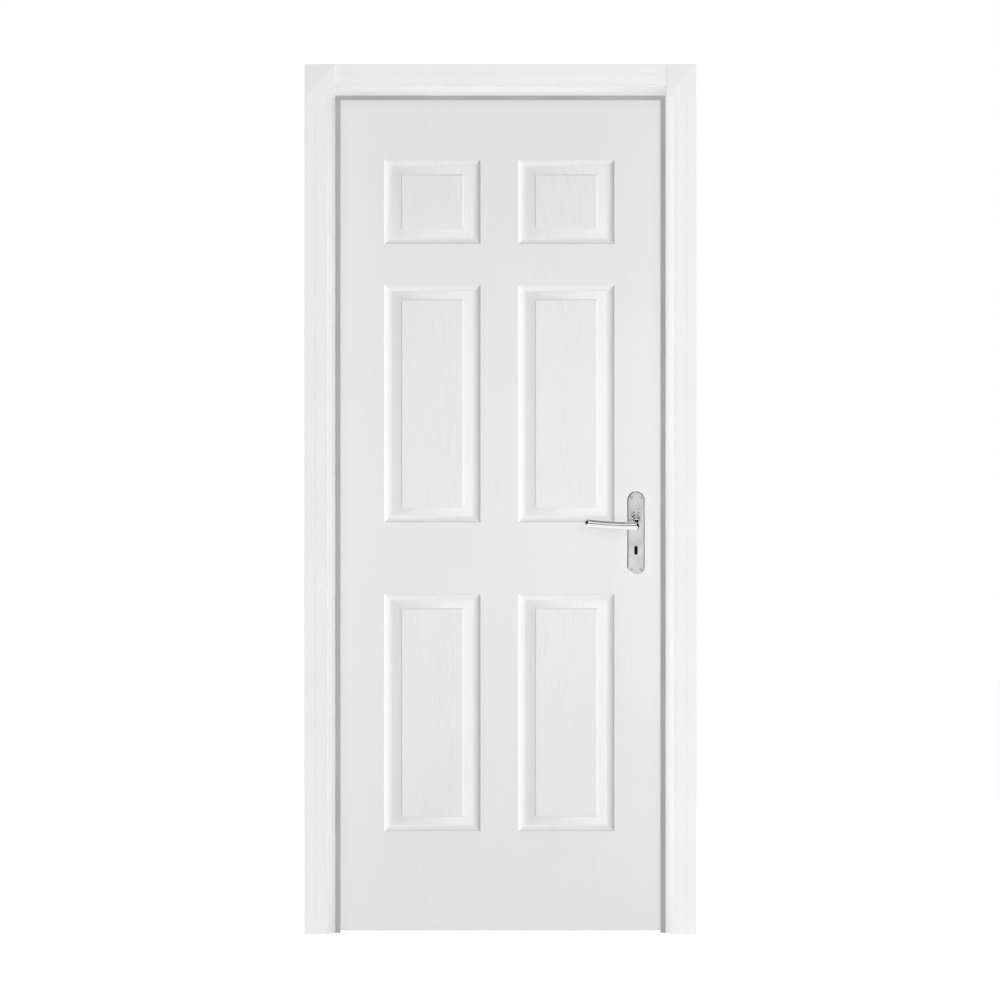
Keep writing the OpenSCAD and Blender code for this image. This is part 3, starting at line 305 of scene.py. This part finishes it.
def metal_finish():
    """Worked metal: brush lines, soft smears and small scratches"""
    tree, given, wanted = new_group(
        "Metal Finish",
        [
            ("Vector", "NodeSocketVector", None),
            ("Along", "NodeSocketVector", (1.0, 1.0, 0.015)),
            ("Lines", "NodeSocketFloat", 2600.0),
        ],
        ["Line", "Smear", "Scratch"],
    )
    drawn = stretch(tree, given["Vector"], given["Along"])
    tree.links.new(noise(tree, drawn, given["Lines"], 4.0, 0.6), wanted["Line"])
    tree.links.new(spread(tree, noise(tree, given["Vector"], 45.0, 3.0), 0.35, 0.7), wanted["Smear"])
    skew = add(
        tree, "ShaderNodeMapping",
        {"Vector": given["Vector"], "Rotation": (0.4, 0.7, 0.9), "Scale": (1.0, 0.03, 1.0)},
    ).outputs[0]
    tree.links.new(spread(tree, noise(tree, skew, 900.0, 1.0), 0.72, 0.78), wanted["Scratch"])
    return tree


GROUPS = {"Pressed Grain": pressed_grain, "Paint Film": paint_film, "Metal Finish": metal_finish}


def shared(tree, name, inputs):
    """A shared effect placed in a material, built at its first use"""
    made = tree.nodes.new("ShaderNodeGroup")
    made.node_tree = bpy.data.node_groups.get(name) or GROUPS[name]()
    feed(tree, made, inputs)
    return made.outputs


def new_material(name):
    """An empty material, and the place on the piece that its textures follow"""
    material = bpy.data.materials.new(name)
    material.use_nodes = True
    tree = material.node_tree
    tree.nodes.clear()
    place = tree.nodes.new("ShaderNodeTexCoord").outputs["Object"]
    return material, tree, place


def show(tree, shader, kind="ShaderNodeOutputMaterial"):
    """Ends a tree with its last shader"""
    add(tree, kind, {"Surface": shader.outputs[0]})


def surface(tree, inputs):
    """Ends a material with the shader that paint, rubber, board and metal share"""
    show(tree, add(tree, "ShaderNodeBsdfPrincipled", inputs))


def bump(tree, height, depth, under=None):
    inputs = {"Height": height, "Distance": depth, "Strength": 1.0}
    if under is not None:
        inputs["Normal"] = under
    return add(tree, "ShaderNodeBump", inputs).outputs["Normal"]


# Materials

# Ways that brush lines and strokes run
ALONG_X = (0.015, 1.0, 1.0)
ALONG_Y = (1.0, 0.015, 1.0)
ALONG_Z = (1.0, 1.0, 0.015)
PAINT_IOR = 1.45
# Depths below the face of the leaf between which the grain grows to its full strength
GRAIN_FROM, GRAIN_FULL = 0.0002, 0.0006
# Share of the pressed streaks in the tone of the leaf; the clouds of the film have the rest
STREAK_SHARE = 0.75
# Round the spindle a backplate is polished: radius, width of the change and share of the roughness left
COLLAR_RADIUS, COLLAR_BLUR, COLLAR_ROUGHNESS = 0.0132, 0.0004, 0.12


def leaf_faces():
    """Places of the leaf's front and back faces through the door"""
    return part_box("front_skin")[0][1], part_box("back_skin")[1][1]


def spindle_place():
    """Place of the spindle's middle across and up the door"""
    low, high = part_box("spindle")
    return (low[0] + high[0]) / 2, (low[2] + high[2]) / 2


def leaf_paint(name, rgb, paint, grain_share):
    """Satin paint over a skin with pressed grain, stronger in the panels than on the face"""
    material, tree, place = new_material(name)
    grain = shared(tree, "Pressed Grain", {"Vector": place})
    film = shared(tree, "Paint Film", {"Vector": place})
    front, back = leaf_faces()
    face = (back - front) / 2
    out = distance(tree, place, (0.0, 1.0, 0.0), (0.0, (front + back) / 2, 0.0))
    deep = spread(tree, out, face - GRAIN_FULL, face - GRAIN_FROM, 1.0, paint.face_grain)
    mean = maths(tree, "MULTIPLY_ADD", film["Cloud"], 1.0 - STREAK_SHARE, 0.5 * STREAK_SHARE)
    streak = maths(tree, "MULTIPLY", maths(tree, "SUBTRACT", grain["Tone"], 0.5), deep)
    tone = maths(tree, "MULTIPLY_ADD", streak, STREAK_SHARE, mean)
    rough = spread(tree, film["Cloud"], 0.0, 1.0, paint.leaf_roughness - 0.05, paint.leaf_roughness + 0.05)
    pressed = bump(tree, maths(tree, "MULTIPLY", grain["Height"], deep), -paint.grain_depth * grain_share)
    surface(tree, {
        "Base Color": tint(tree, tone, opaque(rgb), opaque(rgb, 0.95)),
        "Roughness": rough,
        "Normal": bump(tree, film["Peel"], paint.peel_depth, pressed),
        "IOR": PAINT_IOR,
    })
    return material


def frame_paint(name, rgb, paint, along):
    """Brushed paint of the timber frame, with strokes along the piece"""
    material, tree, place = new_material(name)
    film = shared(tree, "Paint Film", {"Vector": place, "Along": along})
    rough = spread(tree, film["Cloud"], 0.0, 1.0, paint.frame_roughness - 0.04, paint.frame_roughness + 0.06)
    strokes = bump(tree, film["Stroke"], paint.stroke_depth)
    surface(tree, {
        "Base Color": tint(tree, film["Cloud"], opaque(rgb), opaque(rgb, 0.98)),
        "Roughness": rough,
        "Normal": bump(tree, film["Peel"], paint.peel_depth, strokes),
        "IOR": PAINT_IOR,
    })
    return material


def seal_rubber(paint):
    """Soft grey rubber with a dusty bloom"""
    material, tree, place = new_material("seal_rubber")
    film = shared(tree, "Paint Film", {"Vector": place, "Peel": 2200.0})
    rgb = paint.rubber_colour
    surface(tree, {
        "Base Color": tint(tree, film["Cloud"], opaque(rgb, 0.95), opaque(rgb, 1.06)),
        "Roughness": spread(tree, film["Peel"], 0.2, 0.8, 0.55, 0.75),
        "Normal": bump(tree, film["Peel"], 0.00005),
        "IOR": 1.5,
    })
    return material


def core_board(paint):
    """Pressed fibre of the core and raw timber of the lock block"""
    material, tree, place = new_material("core_board")
    grain = shared(tree, "Pressed Grain", {"Vector": place, "Rings": 9.0})
    rgb = paint.board_colour
    surface(tree, {
        "Base Color": tint(tree, grain["Height"], opaque(rgb), opaque(rgb, 0.6)),
        "Roughness": spread(tree, grain["Height"], 0.0, 1.0, 0.65, 0.85),
        "Normal": bump(tree, grain["Height"], 0.0003),
    })
    return material


def metal(name, rgb, metals, roughness, along, line_share=1.0, scratch_share=0.0, collar=None):
    """Metal with brush lines along one way, smears and scratches, and a polished collar if one is given"""
    material, tree, place = new_material(name)
    finish = shared(tree, "Metal Finish", {"Vector": place, "Along": along})
    worn = maths(tree, "MULTIPLY", finish["Scratch"], scratch_share)
    rough = spread(tree, finish["Smear"], 0.0, 1.0, roughness * 0.85, roughness * 1.2)
    rough = maths(tree, "MULTIPLY_ADD", worn, 0.15, rough)
    brushed = maths(tree, "SUBTRACT", finish["Line"], 0.5)
    rough = maths(tree, "MULTIPLY_ADD", brushed, 0.2 * line_share, rough)
    if collar is not None:
        apart = distance(tree, place, (1.0, 0.0, 1.0), (collar[0], 0.0, collar[1]))
        satin = spread(tree, apart, COLLAR_RADIUS, COLLAR_RADIUS + COLLAR_BLUR, COLLAR_ROUGHNESS, 1.0)
        rough = maths(tree, "MULTIPLY", rough, satin)
    surface(tree, {
        "Base Color": tint(tree, finish["Line"], opaque(rgb, 1.0 - 0.12 * line_share), opaque(rgb, 1.0)),
        "Metallic": 1.0,
        "Roughness": rough,
        "Normal": bump(tree, finish["Line"], metals.brush_depth * line_share),
    })
    return material


# Pieces

# Gap below which two points of a mesh are one
WELD_GAP = 0.00002
# Faces that turn less than this are one flat, and edges that turn more than this are arrises
FLAT_WITHIN = math.radians(0.3)
SHARP_FROM = math.radians(28)


def coat(names, material):
    """Puts one material on the named pieces"""
    for name in names:
        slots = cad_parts[name].data.materials
        slots.clear()
        slots.append(material)


def shade(piece, smooth=True):
    """Shading from the shape itself, smooth or facet by facet"""
    data = piece.data
    if "custom_normal" in data.attributes:
        data.attributes.remove(data.attributes["custom_normal"])
    data.polygons.foreach_set("use_smooth", [smooth] * len(data.polygons))
    data.update()


def weld(piece):
    """Joins the points that the faces of a solid have in common"""
    made = piece.modifiers.new("weld", "WELD")
    made.merge_threshold = WELD_GAP


def soften(names, width, sharp_from=SHARP_FROM, segments=2, smooth=True):
    """Rounds the arrises of the named pieces and keeps their flats flat"""
    for name in names:
        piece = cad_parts[name]
        shade(piece, smooth)
        weld(piece)
        flats = piece.modifiers.new("flats", "DECIMATE")
        flats.decimate_type = "DISSOLVE"
        flats.angle_limit = FLAT_WITHIN
        arris = piece.modifiers.new("arris", "BEVEL")
        arris.width = width
        arris.segments = segments
        arris.limit_method = "ANGLE"
        arris.angle_limit = sharp_from
        arris.use_clamp_overlap = True
        arris.miter_outer = "MITER_ARC"
        if smooth:
            normals = piece.modifiers.new("normals", "WEIGHTED_NORMAL")
            normals.mode = "FACE_AREA"
            normals.weight = 50


def blend_lever(name, voxel):
    """Runs the neck of a lever into its grip as one cast form"""
    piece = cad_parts[name]
    shade(piece)
    weld(piece)
    cast = piece.modifiers.new("cast", "REMESH")
    cast.mode = "VOXEL"
    cast.voxel_size = voxel
    cast.use_smooth_shade = True
    polish = piece.modifiers.new("polish", "SMOOTH")
    polish.factor = 0.5
    polish.iterations = 14


# Beads on the neck of a lever: drop below the spindle, distance from the leaf, tilt, radius of the neck
NECK_BEADS = (
    (0.0012, 0.0335, math.radians(22), 0.0098),
    (0.0070, 0.0407, math.radians(55), 0.0090),
    (0.0125, 0.0446, math.radians(55), 0.0084),
)
# Points round a neck and round the section of a bead
BEAD_RINGS, BEAD_SIDES = 64, 16


def new_piece(name, mesh, material):
    """An object made from an edited mesh"""
    data = bpy.data.meshes.new(name)
    mesh.to_mesh(data)
    mesh.free()
    data.materials.append(material)
    made = bpy.data.objects.new(name, data)
    bpy.context.scene.collection.objects.link(made)
    return made


def bead(mesh, middle, way, radius, section):
    """A round bead on a neck that runs along the given way"""
    across = Vector((1.0, 0.0, 0.0))
    up = way.cross(across)
    first = len(mesh.verts)
    for i in range(BEAD_RINGS):
        turn = 2 * math.pi * i / BEAD_RINGS
        out = across * math.cos(turn) + up * math.sin(turn)
        for j in range(BEAD_SIDES):
            side = 2 * math.pi * j / BEAD_SIDES
            reach = radius + section * math.cos(side)
            mesh.verts.new(middle + out * reach + way * section * math.sin(side))
    mesh.verts.ensure_lookup_table()
    for i in range(BEAD_RINGS):
        for j in range(BEAD_SIDES):
            after, over = (i + 1) % BEAD_RINGS, (j + 1) % BEAD_SIDES
            corners = ((i, j), (i, over), (after, over), (after, j))
            face = mesh.faces.new([mesh.verts[first + a * BEAD_SIDES + b] for a, b in corners])
            face.smooth = True


def neck_beads(name, leaf_y, outward, section, material):
    """The beads of one lever, as a piece that turns with it"""
    x, z = spindle_place()
    mesh = bmesh.new()
    for drop, out, tilt, radius in NECK_BEADS:
        middle = Vector((x, leaf_y + outward * out, z - drop))
        way = Vector((0.0, outward * math.cos(tilt), -math.sin(tilt)))
        bead(mesh, middle, way, radius, section)
    bmesh.ops.recalc_face_normals(mesh, faces=mesh.faces)
    made = new_piece(name, mesh, material)
    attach(made, "handle")


def latch_coil(material):
    """The latch spring, welded into a piece of its own that rides the leaf"""
    mesh = bmesh.new()
    mesh.from_mesh(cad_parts["latch_spring"].data)
    bmesh.ops.remove_doubles(mesh, verts=mesh.verts, dist=WELD_GAP)
    coil = new_piece("latch_coil", mesh, material)
    shade(coil)
    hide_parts("latch_spring")
    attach(coil, "leaf")
    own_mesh(coil)


# Stage

UPRIGHT = math.radians(90)
# Bounces of a lamp's light where nothing limits them
FREE_BOUNCES = 1024
# Width of the strips that light the reveal
STRIP_WIDTH = 0.03
# Dark cards that only polished metal mirrors: name, width, height, place, turn
CARDS = (
    ("card_front", 9.0, 1.5, (0.0, -5.0, 2.25), (UPRIGHT, 0.0, 2 * UPRIGHT)),
    ("card_left", 4.5, 9.0, (-3.2, -1.25, 4.5), (UPRIGHT, 0.0, UPRIGHT)),
    ("card_right", 4.5, 9.0, (3.2, -1.25, 4.5), (UPRIGHT, 0.0, -UPRIGHT)),
    ("card_top", 4.0, 1.3, (0.0, -0.75, 3.5), (2 * UPRIGHT, 0.0, 0.0)),
    ("card_tip", 3.0, 7.0, (-2.4, -4.0, 4.6), (UPRIGHT, 0.0, 1.5 * UPRIGHT)),
    ("card_heel", 3.0, 7.0, (3.0, -4.0, 4.6), (UPRIGHT, 0.0, -1.5 * UPRIGHT)),
)
# A small flag on the leaf behind the grip: how far it passes the tip, its gaps from plate and leaf,
# and its foot and head above the bottom of the lever
FLAG_PAST_TIP, FLAG_FROM_PLATE, FLAG_FROM_LEAF = 0.14, 0.003, 0.004
FLAG_FOOT, FLAG_HEAD = 0.013, 0.15
# A small flag on the reveal beside the plate: its gap from the jamb, its height,
# and its middle above the foot of the plate
FLAG_FROM_JAMB, FLAG_HEIGHT, FLAG_LIFT = 0.0005, 0.26, 0.1


def gathered(name, pieces):
    """A collection of the named pieces, for a lamp that keeps to them"""
    made = bpy.data.collections.new(name)
    for piece in pieces:
        made.objects.link(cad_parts[piece])
    return made


def hang(name, data, place, turn, lit=(), shading=()):
    """A lamp that lights and is shaded by all pieces or only by the given ones, and isn't mirrored"""
    lamp = bpy.data.objects.new(name, data)
    lamp.location = place
    lamp.rotation_euler = turn
    # Only a near lamp is hidden from the camera
    lamp.visible_camera = data.type == "SUN"
    lamp.visible_glossy = False
    bpy.context.scene.collection.objects.link(lamp)
    if lit:
        lamp.light_linking.receiver_collection = gathered(f"{name}_lit", lit)
    if shading:
        lamp.light_linking.blocker_collection = gathered(f"{name}_shade", shading)


def towards(turn, drop):
    """Way to a lamp that stands turned to the right of the leaf's normal and below the horizon"""
    flat = math.cos(drop)
    return Vector((flat * math.sin(turn), -flat * math.cos(turn), -math.sin(drop)))


def seen_direct(tree):
    """One where the eye, a mirror or a glass sees the surface, and zero for other light"""
    path = tree.nodes.new("ShaderNodeLightPath").outputs
    mirrored = maths(tree, "MAXIMUM", path["Is Glossy Ray"], path["Is Transmission Ray"])
    return maths(tree, "MAXIMUM", path["Is Camera Ray"], mirrored)


def sheet(name, width, height, material, place, turn):
    """A flat sheet of the stage"""
    x, y = width / 2, height / 2
    data = bpy.data.meshes.new(name)
    data.from_pydata([(-x, -y, 0.0), (x, -y, 0.0), (x, y, 0.0), (-x, y, 0.0)], [], [(0, 1, 2, 3)])
    data.materials.append(material)
    made = bpy.data.objects.new(name, data)
    made.location = place
    made.rotation_euler = turn
    bpy.context.scene.collection.objects.link(made)
    return made


# Operators


class DOOR_OT_stage(bpy.types.Operator):
    """Set the camera, the pale floor and the studio light"""

    bl_idname = "door.stage"
    bl_label = "Stage"

    def execute(self, context):
        stage = context.scene.door_stage
        context.scene.view_settings.view_transform = "Standard"
        face_y, back_y = leaf_faces()
        middle = Vector((0.0, 0.0, stage.camera_height))
        self.camera(context.scene, stage, face_y)
        self.world(context.scene, stage)
        self.floor(stage)
        painted_leaf = SKINS + LEAF_EDGES
        painted_frame = UPRIGHTS + HEADS + CORNER_BLOCKS
        leaf_way = towards(stage.leaf_key_turn, stage.leaf_key_drop)
        block_way = towards(stage.block_key_turn, stage.block_key_drop)
        front_way = towards(0.0, 0.0)
        self.sun("leaf_key", stage.leaf_key, leaf_way, painted_leaf)
        self.sun("leaf_front", stage.leaf_front, front_way, painted_leaf)
        self.sun("frame_front", stage.frame_front, front_way, UPRIGHTS + HEADS + SEALS)
        self.sun("block_key", stage.block_key, block_way, CORNER_BLOCKS, bounces=0)
        self.reveal_strips(stage)
        before = middle + Vector((stage.fill_side, face_y - stage.fill_distance, 0.0))
        beside = middle + Vector((stage.side_place, face_y - stage.lamp_distance, 0.0))
        far = stage.back_place
        behind = middle + Vector((far, back_y + far, stage.back_lift * far))
        ahead, size = Vector((0.0, 1.0, 0.0)), stage.lamp_size
        self.soft_lamp("fill", stage.fill_power, size, before, ahead, painted_leaf + BACKPLATES + LEVERS)
        self.soft_lamp("side", stage.side_power, size, beside, ahead, painted_frame + SEALS)
        self.soft_lamp("back", stage.back_power, size, behind, middle - behind, bounces=0)
        self.cards()
        return {"FINISHED"}

    def camera(self, scene, stage, face_y):
        """A far camera square to the leaf"""
        data = bpy.data.cameras.new("camera")
        data.sensor_width = 36.0
        data.lens = data.sensor_width * stage.camera_distance / stage.view_width
        data.clip_end = 200.0
        camera = bpy.data.objects.new("camera", data)
        camera.location = (stage.camera_side, face_y - stage.camera_distance, stage.camera_height)
        camera.rotation_euler = (UPRIGHT, 0.0, 0.0)
        scene.collection.objects.link(camera)
        scene.camera = camera

    def world(self, scene, stage):
        """Even light, and white where the eye or a mirror sees past the floor"""
        world = bpy.data.worlds.new("studio")
        world.use_nodes = True
        tree = world.node_tree
        tree.nodes.clear()
        strength = maths(tree, "MAXIMUM", seen_direct(tree), stage.sky_level)
        sky = add(tree, "ShaderNodeBackground", {"Color": WHITE, "Strength": strength})
        show(tree, sky, "ShaderNodeOutputWorld")
        scene.world = world

    def floor(self, stage):
        """A pale floor that keeps the door's shadow"""
        material, tree, place = new_material("floor")
        speck = noise(tree, place, 60.0, 3.0)
        diffuse = add(tree, "ShaderNodeBsdfDiffuse", {
            "Color": tint(tree, speck, opaque(stage.floor_colour), opaque(stage.floor_colour, 0.98)),
        })
        lift = maths(tree, "MULTIPLY", seen_direct(tree), stage.floor_lift)
        glow = add(tree, "ShaderNodeEmission", {"Color": WHITE, "Strength": lift})
        show(tree, add(tree, "ShaderNodeAddShader", {0: diffuse.outputs[0], 1: glow.outputs[0]}))
        sheet("floor", stage.floor_size, stage.floor_size, material, (0.0, 0.0, 0.0), (0.0, 0.0, 0.0))

    def sun(self, name, level, source, lit, bounces=FREE_BOUNCES):
        """A far lamp without shadow, whose level is the light on a face square to it"""
        data = bpy.data.lights.new(name, "SUN")
        data.energy = level * math.pi
        data.angle = math.radians(4)
        data.use_shadow = False
        data.cycles.max_bounces = bounces
        hang(name, data, (0.0, 0.0, 0.0), source.to_track_quat("Z", "Y").to_euler(), lit)

    def reveal_strips(self, stage):
        """Thin strips in the middle of the opening, which light only the reveal round it"""
        head_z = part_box("head_jamb")[0][2]
        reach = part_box("lock_jamb")[0][0]
        y = (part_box("front_casing_right")[0][1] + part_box("seal_right")[0][1]) / 2
        middle, under = (0.0, y, head_z / 2), (0.0, y, head_z - reach)
        tall = 1.5 * head_z
        strips = (
            ("left", ("hinge_jamb",), stage.left_power, tall, middle, (0.0, UPRIGHT, 0.0)),
            ("right", ("lock_jamb",), stage.right_power, tall, middle, (0.0, -UPRIGHT, 0.0)),
            ("head", ("head_jamb", "seal_head"), stage.head_power, 3 * reach, under, (2 * UPRIGHT, 0.0, 0.0)),
        )
        for side, lit, watts, long, place, turn in strips:
            name, casing = f"reveal_{side}", f"front_casing_{side}"
            data = bpy.data.lights.new(name, "AREA")
            data.shape = "RECTANGLE"
            data.energy = watts
            data.size = long
            data.size_y = STRIP_WIDTH
            data.cycles.max_bounces = 0
            shading = (casing, f"stop_{side}", f"seal_{side}") + SKINS + LEAF_EDGES
            hang(name, data, place, turn, lit + (casing,), shading)

    def soft_lamp(self, name, watts, size, place, way, lit=(), bounces=FREE_BOUNCES):
        """A square lamp that faces the given way"""
        data = bpy.data.lights.new(name, "AREA")
        data.energy = watts
        data.size = size
        data.cycles.max_bounces = bounces
        hang(name, data, place, (-way).to_track_quat("Z", "Y").to_euler(), lit)

    def cards(self):
        """Dark cards that only polished metal mirrors, and two small flags close to the lever"""
        material, tree, place = new_material("dark_card")
        speck = noise(tree, place, 3.0)
        dark = add(tree, "ShaderNodeBsdfDiffuse", {"Color": tint(tree, speck, BLACK, CHARCOAL)})
        clear = tree.nodes.new("ShaderNodeBsdfTransparent")
        behind = tree.nodes.new("ShaderNodeNewGeometry").outputs["Backfacing"]
        show(tree, add(tree, "ShaderNodeMixShader", {0: behind, 1: dark.outputs[0], 2: clear.outputs[0]}))
        grip, plate, face_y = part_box("front_lever"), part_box("front_backplate"), leaf_faces()[0]
        left, right = grip[0][0] - FLAG_PAST_TIP, plate[0][0] - FLAG_FROM_PLATE
        foot, head = grip[0][2] + FLAG_FOOT, grip[0][2] + FLAG_HEAD
        on_leaf = ((left + right) / 2, face_y - FLAG_FROM_LEAF, (foot + head) / 2)
        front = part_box("front_casing_right")[0][1]
        rear = (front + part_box("seal_right")[0][1]) / 2
        jamb_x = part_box("lock_jamb")[0][0]
        on_reveal = (jamb_x - FLAG_FROM_JAMB, (front + rear) / 2, plate[0][2] + FLAG_LIFT)
        flags = (
            ("flag_leaf", right - left, head - foot, on_leaf, (UPRIGHT, 0.0, 0.0)),
            ("flag_reveal", rear - front, FLAG_HEIGHT, on_reveal, (UPRIGHT, 0.0, -UPRIGHT)),
        )
        for name, width, height, place, turn in CARDS + flags:
            card = sheet(name, width, height, material, place, turn)
            card.visible_camera = False
            card.visible_diffuse = False
            card.visible_shadow = False
            card.visible_transmission = False


class DOOR_OT_leaf(bpy.types.Operator):
    """Paint the pressed skins and the edges of the leaf"""

    bl_idname = "door.leaf"
    bl_label = "Leaf"

    def execute(self, context):
        paint = context.scene.door_paint
        coat(SKINS, leaf_paint("leaf_paint", paint.leaf_colour, paint, 1.0))
        coat(LEAF_EDGES, leaf_paint("edge_paint", paint.edge_colour, paint, 0.4))
        coat(("core_slab", "lock_block"), core_board(paint))
        soften(SKINS, paint.arris * 0.7, math.radians(20))
        soften(LEAF_EDGES, paint.arris * 0.4)
        return {"FINISHED"}


class DOOR_OT_frame(bpy.types.Operator):
    """Paint the jambs, stops, casings and corner blocks"""

    bl_idname = "door.frame"
    bl_label = "Frame"

    def execute(self, context):
        paint = context.scene.door_paint
        upright = frame_paint("frame_paint_upright", paint.frame_colour, paint, ALONG_Z)
        level = frame_paint("frame_paint_level", paint.frame_colour, paint, ALONG_X)
        coat(UPRIGHTS + CORNER_BLOCKS, upright)
        coat(HEADS, level)
        soften(UPRIGHTS + HEADS, paint.arris)
        soften(CORNER_BLOCKS, paint.arris * 0.3, smooth=False)
        return {"FINISHED"}


class DOOR_OT_seals(bpy.types.Operator):
    """Give the seals their grey rubber"""

    bl_idname = "door.seals"
    bl_label = "Seals"

    def execute(self, context):
        paint = context.scene.door_paint
        coat(SEALS, seal_rubber(paint))
        soften(SEALS, paint.arris, segments=3)
        return {"FINISHED"}


class DOOR_OT_hinges(bpy.types.Operator):
    """Finish the hinges, their pins and their screws"""

    bl_idname = "door.hinges"
    bl_label = "Hinges"

    def execute(self, context):
        metals = context.scene.door_metal
        steel = metal("hinge_steel", metals.hinge_colour, metals, 0.3, ALONG_Z, 1.0, 0.5)
        coat(HINGES + HINGE_SCREWS, steel)
        soften(HINGES + HINGE_SCREWS, metals.edge)
        return {"FINISHED"}


class DOOR_OT_lock(bpy.types.Operator):
    """Finish the lock, its bolts, the strike and their screws"""

    bl_idname = "door.lock"
    bl_label = "Lock"

    def execute(self, context):
        metals = context.scene.door_metal
        steel = metal("lock_steel", metals.lock_colour, metals, 0.32, ALONG_Z, 1.0, 0.6)
        coat(LOCK_FACES + LOCK_SCREWS, steel)
        zinc = metal("zinc_steel", metals.zinc_colour, metals, 0.42, ALONG_X, 0.6, 0.4)
        coat(LOCK_CASE + ("latch_spring",), zinc)
        latch_coil(zinc)
        # The lock levers take a near-black steel: their oiled steel, darkened as painted shade inside the
        # keyhole
        coat(("lock_levers",), metal("keyhole_shade_steel", metals.keyhole_shade_colour, metals, 0.5, ALONG_X, 0.6, 0.2))
        coat(BOLTS, metal("bolt_brass", metals.brass_colour, metals, 0.28, ALONG_X, 0.8, 0.7))
        soften(LOCK_FACES + LOCK_SCREWS + LOCK_CASE + BOLTS + ("lock_levers",), metals.edge)
        return {"FINISHED"}


class DOOR_OT_backplates(bpy.types.Operator):
    """Finish the backplates and their screws"""

    bl_idname = "door.backplates"
    bl_label = "Backplates"

    def execute(self, context):
        metals = context.scene.door_metal
        plate = metal(
            "satin_metal", metals.plate_colour, metals, metals.plate_roughness, ALONG_Z, 0.5, 0.2,
            collar=spindle_place(),
        )
        coat(BACKPLATES, plate)
        coat(PLATE_SCREWS, metal("screw_chrome", metals.hinge_colour, metals, 0.22, ALONG_X, 0.3, 0.3))
        soften(BACKPLATES, metals.edge, math.radians(22))
        soften(PLATE_SCREWS, metals.edge * 0.5)
        return {"FINISHED"}


class DOOR_OT_levers(bpy.types.Operator):
    """Blend and polish the levers, and finish what they turn"""

    bl_idname = "door.levers"
    bl_label = "Levers"

    def execute(self, context):
        metals = context.scene.door_metal
        chrome = metal(
            "polished_chrome", metals.chrome_colour, metals, metals.chrome_roughness, ALONG_X, 0.02, 0.08
        )
        coat(LEVERS, chrome)
        coat(HANDLE_CORE, metal("spindle_steel", metals.zinc_colour, metals, 0.4, ALONG_Y, 0.8, 0.4))
        for name in LEVERS:
            blend_lever(name, metals.lever_voxel)
        front_y, back_y = leaf_faces()
        neck_beads("front_neck_beads", front_y, -1.0, metals.bead, chrome)
        neck_beads("back_neck_beads", back_y, 1.0, metals.bead, chrome)
        soften(HANDLE_CORE, metals.edge)
        return {"FINISHED"}


class DOOR_PT_finish(bpy.types.Panel):
    """Settings and steps of the door's finish"""

    bl_idname = "DOOR_PT_finish"
    bl_label = "Panelled Door"
    bl_space_type = "VIEW_3D"
    bl_region_type = "UI"
    bl_category = "Door"

    def draw(self, context):
        for step in STEPS:
            self.layout.operator(step.bl_idname)
        for group in (context.scene.door_paint, context.scene.door_metal, context.scene.door_stage):
            box = self.layout.box()
            for name in group.__annotations__:
                box.prop(group, name)


SETTINGS = {"door_paint": DoorPaint, "door_metal": DoorMetal, "door_stage": DoorStage}
STEPS = (
    DOOR_OT_stage, DOOR_OT_leaf, DOOR_OT_frame, DOOR_OT_seals,
    DOOR_OT_hinges, DOOR_OT_lock, DOOR_OT_backplates, DOOR_OT_levers,
)
CLASSES = (*SETTINGS.values(), *STEPS, DOOR_PT_finish)


def register():
    for made in CLASSES:
        bpy.utils.register_class(made)
    for name, group in SETTINGS.items():
        setattr(bpy.types.Scene, name, PointerProperty(type=group))


def unregister():
    for name in SETTINGS:
        delattr(bpy.types.Scene, name)
    for made in reversed(CLASSES):
        bpy.utils.unregister_class(made)


def main():
    register()
    bpy.ops.door.stage()
    bpy.ops.door.leaf()
    bpy.ops.door.frame()
    bpy.ops.door.seals()
    bpy.ops.door.hinges()
    bpy.ops.door.lock()
    bpy.ops.door.backplates()
    bpy.ops.door.levers()


if __name__ == "__main__":
    main()
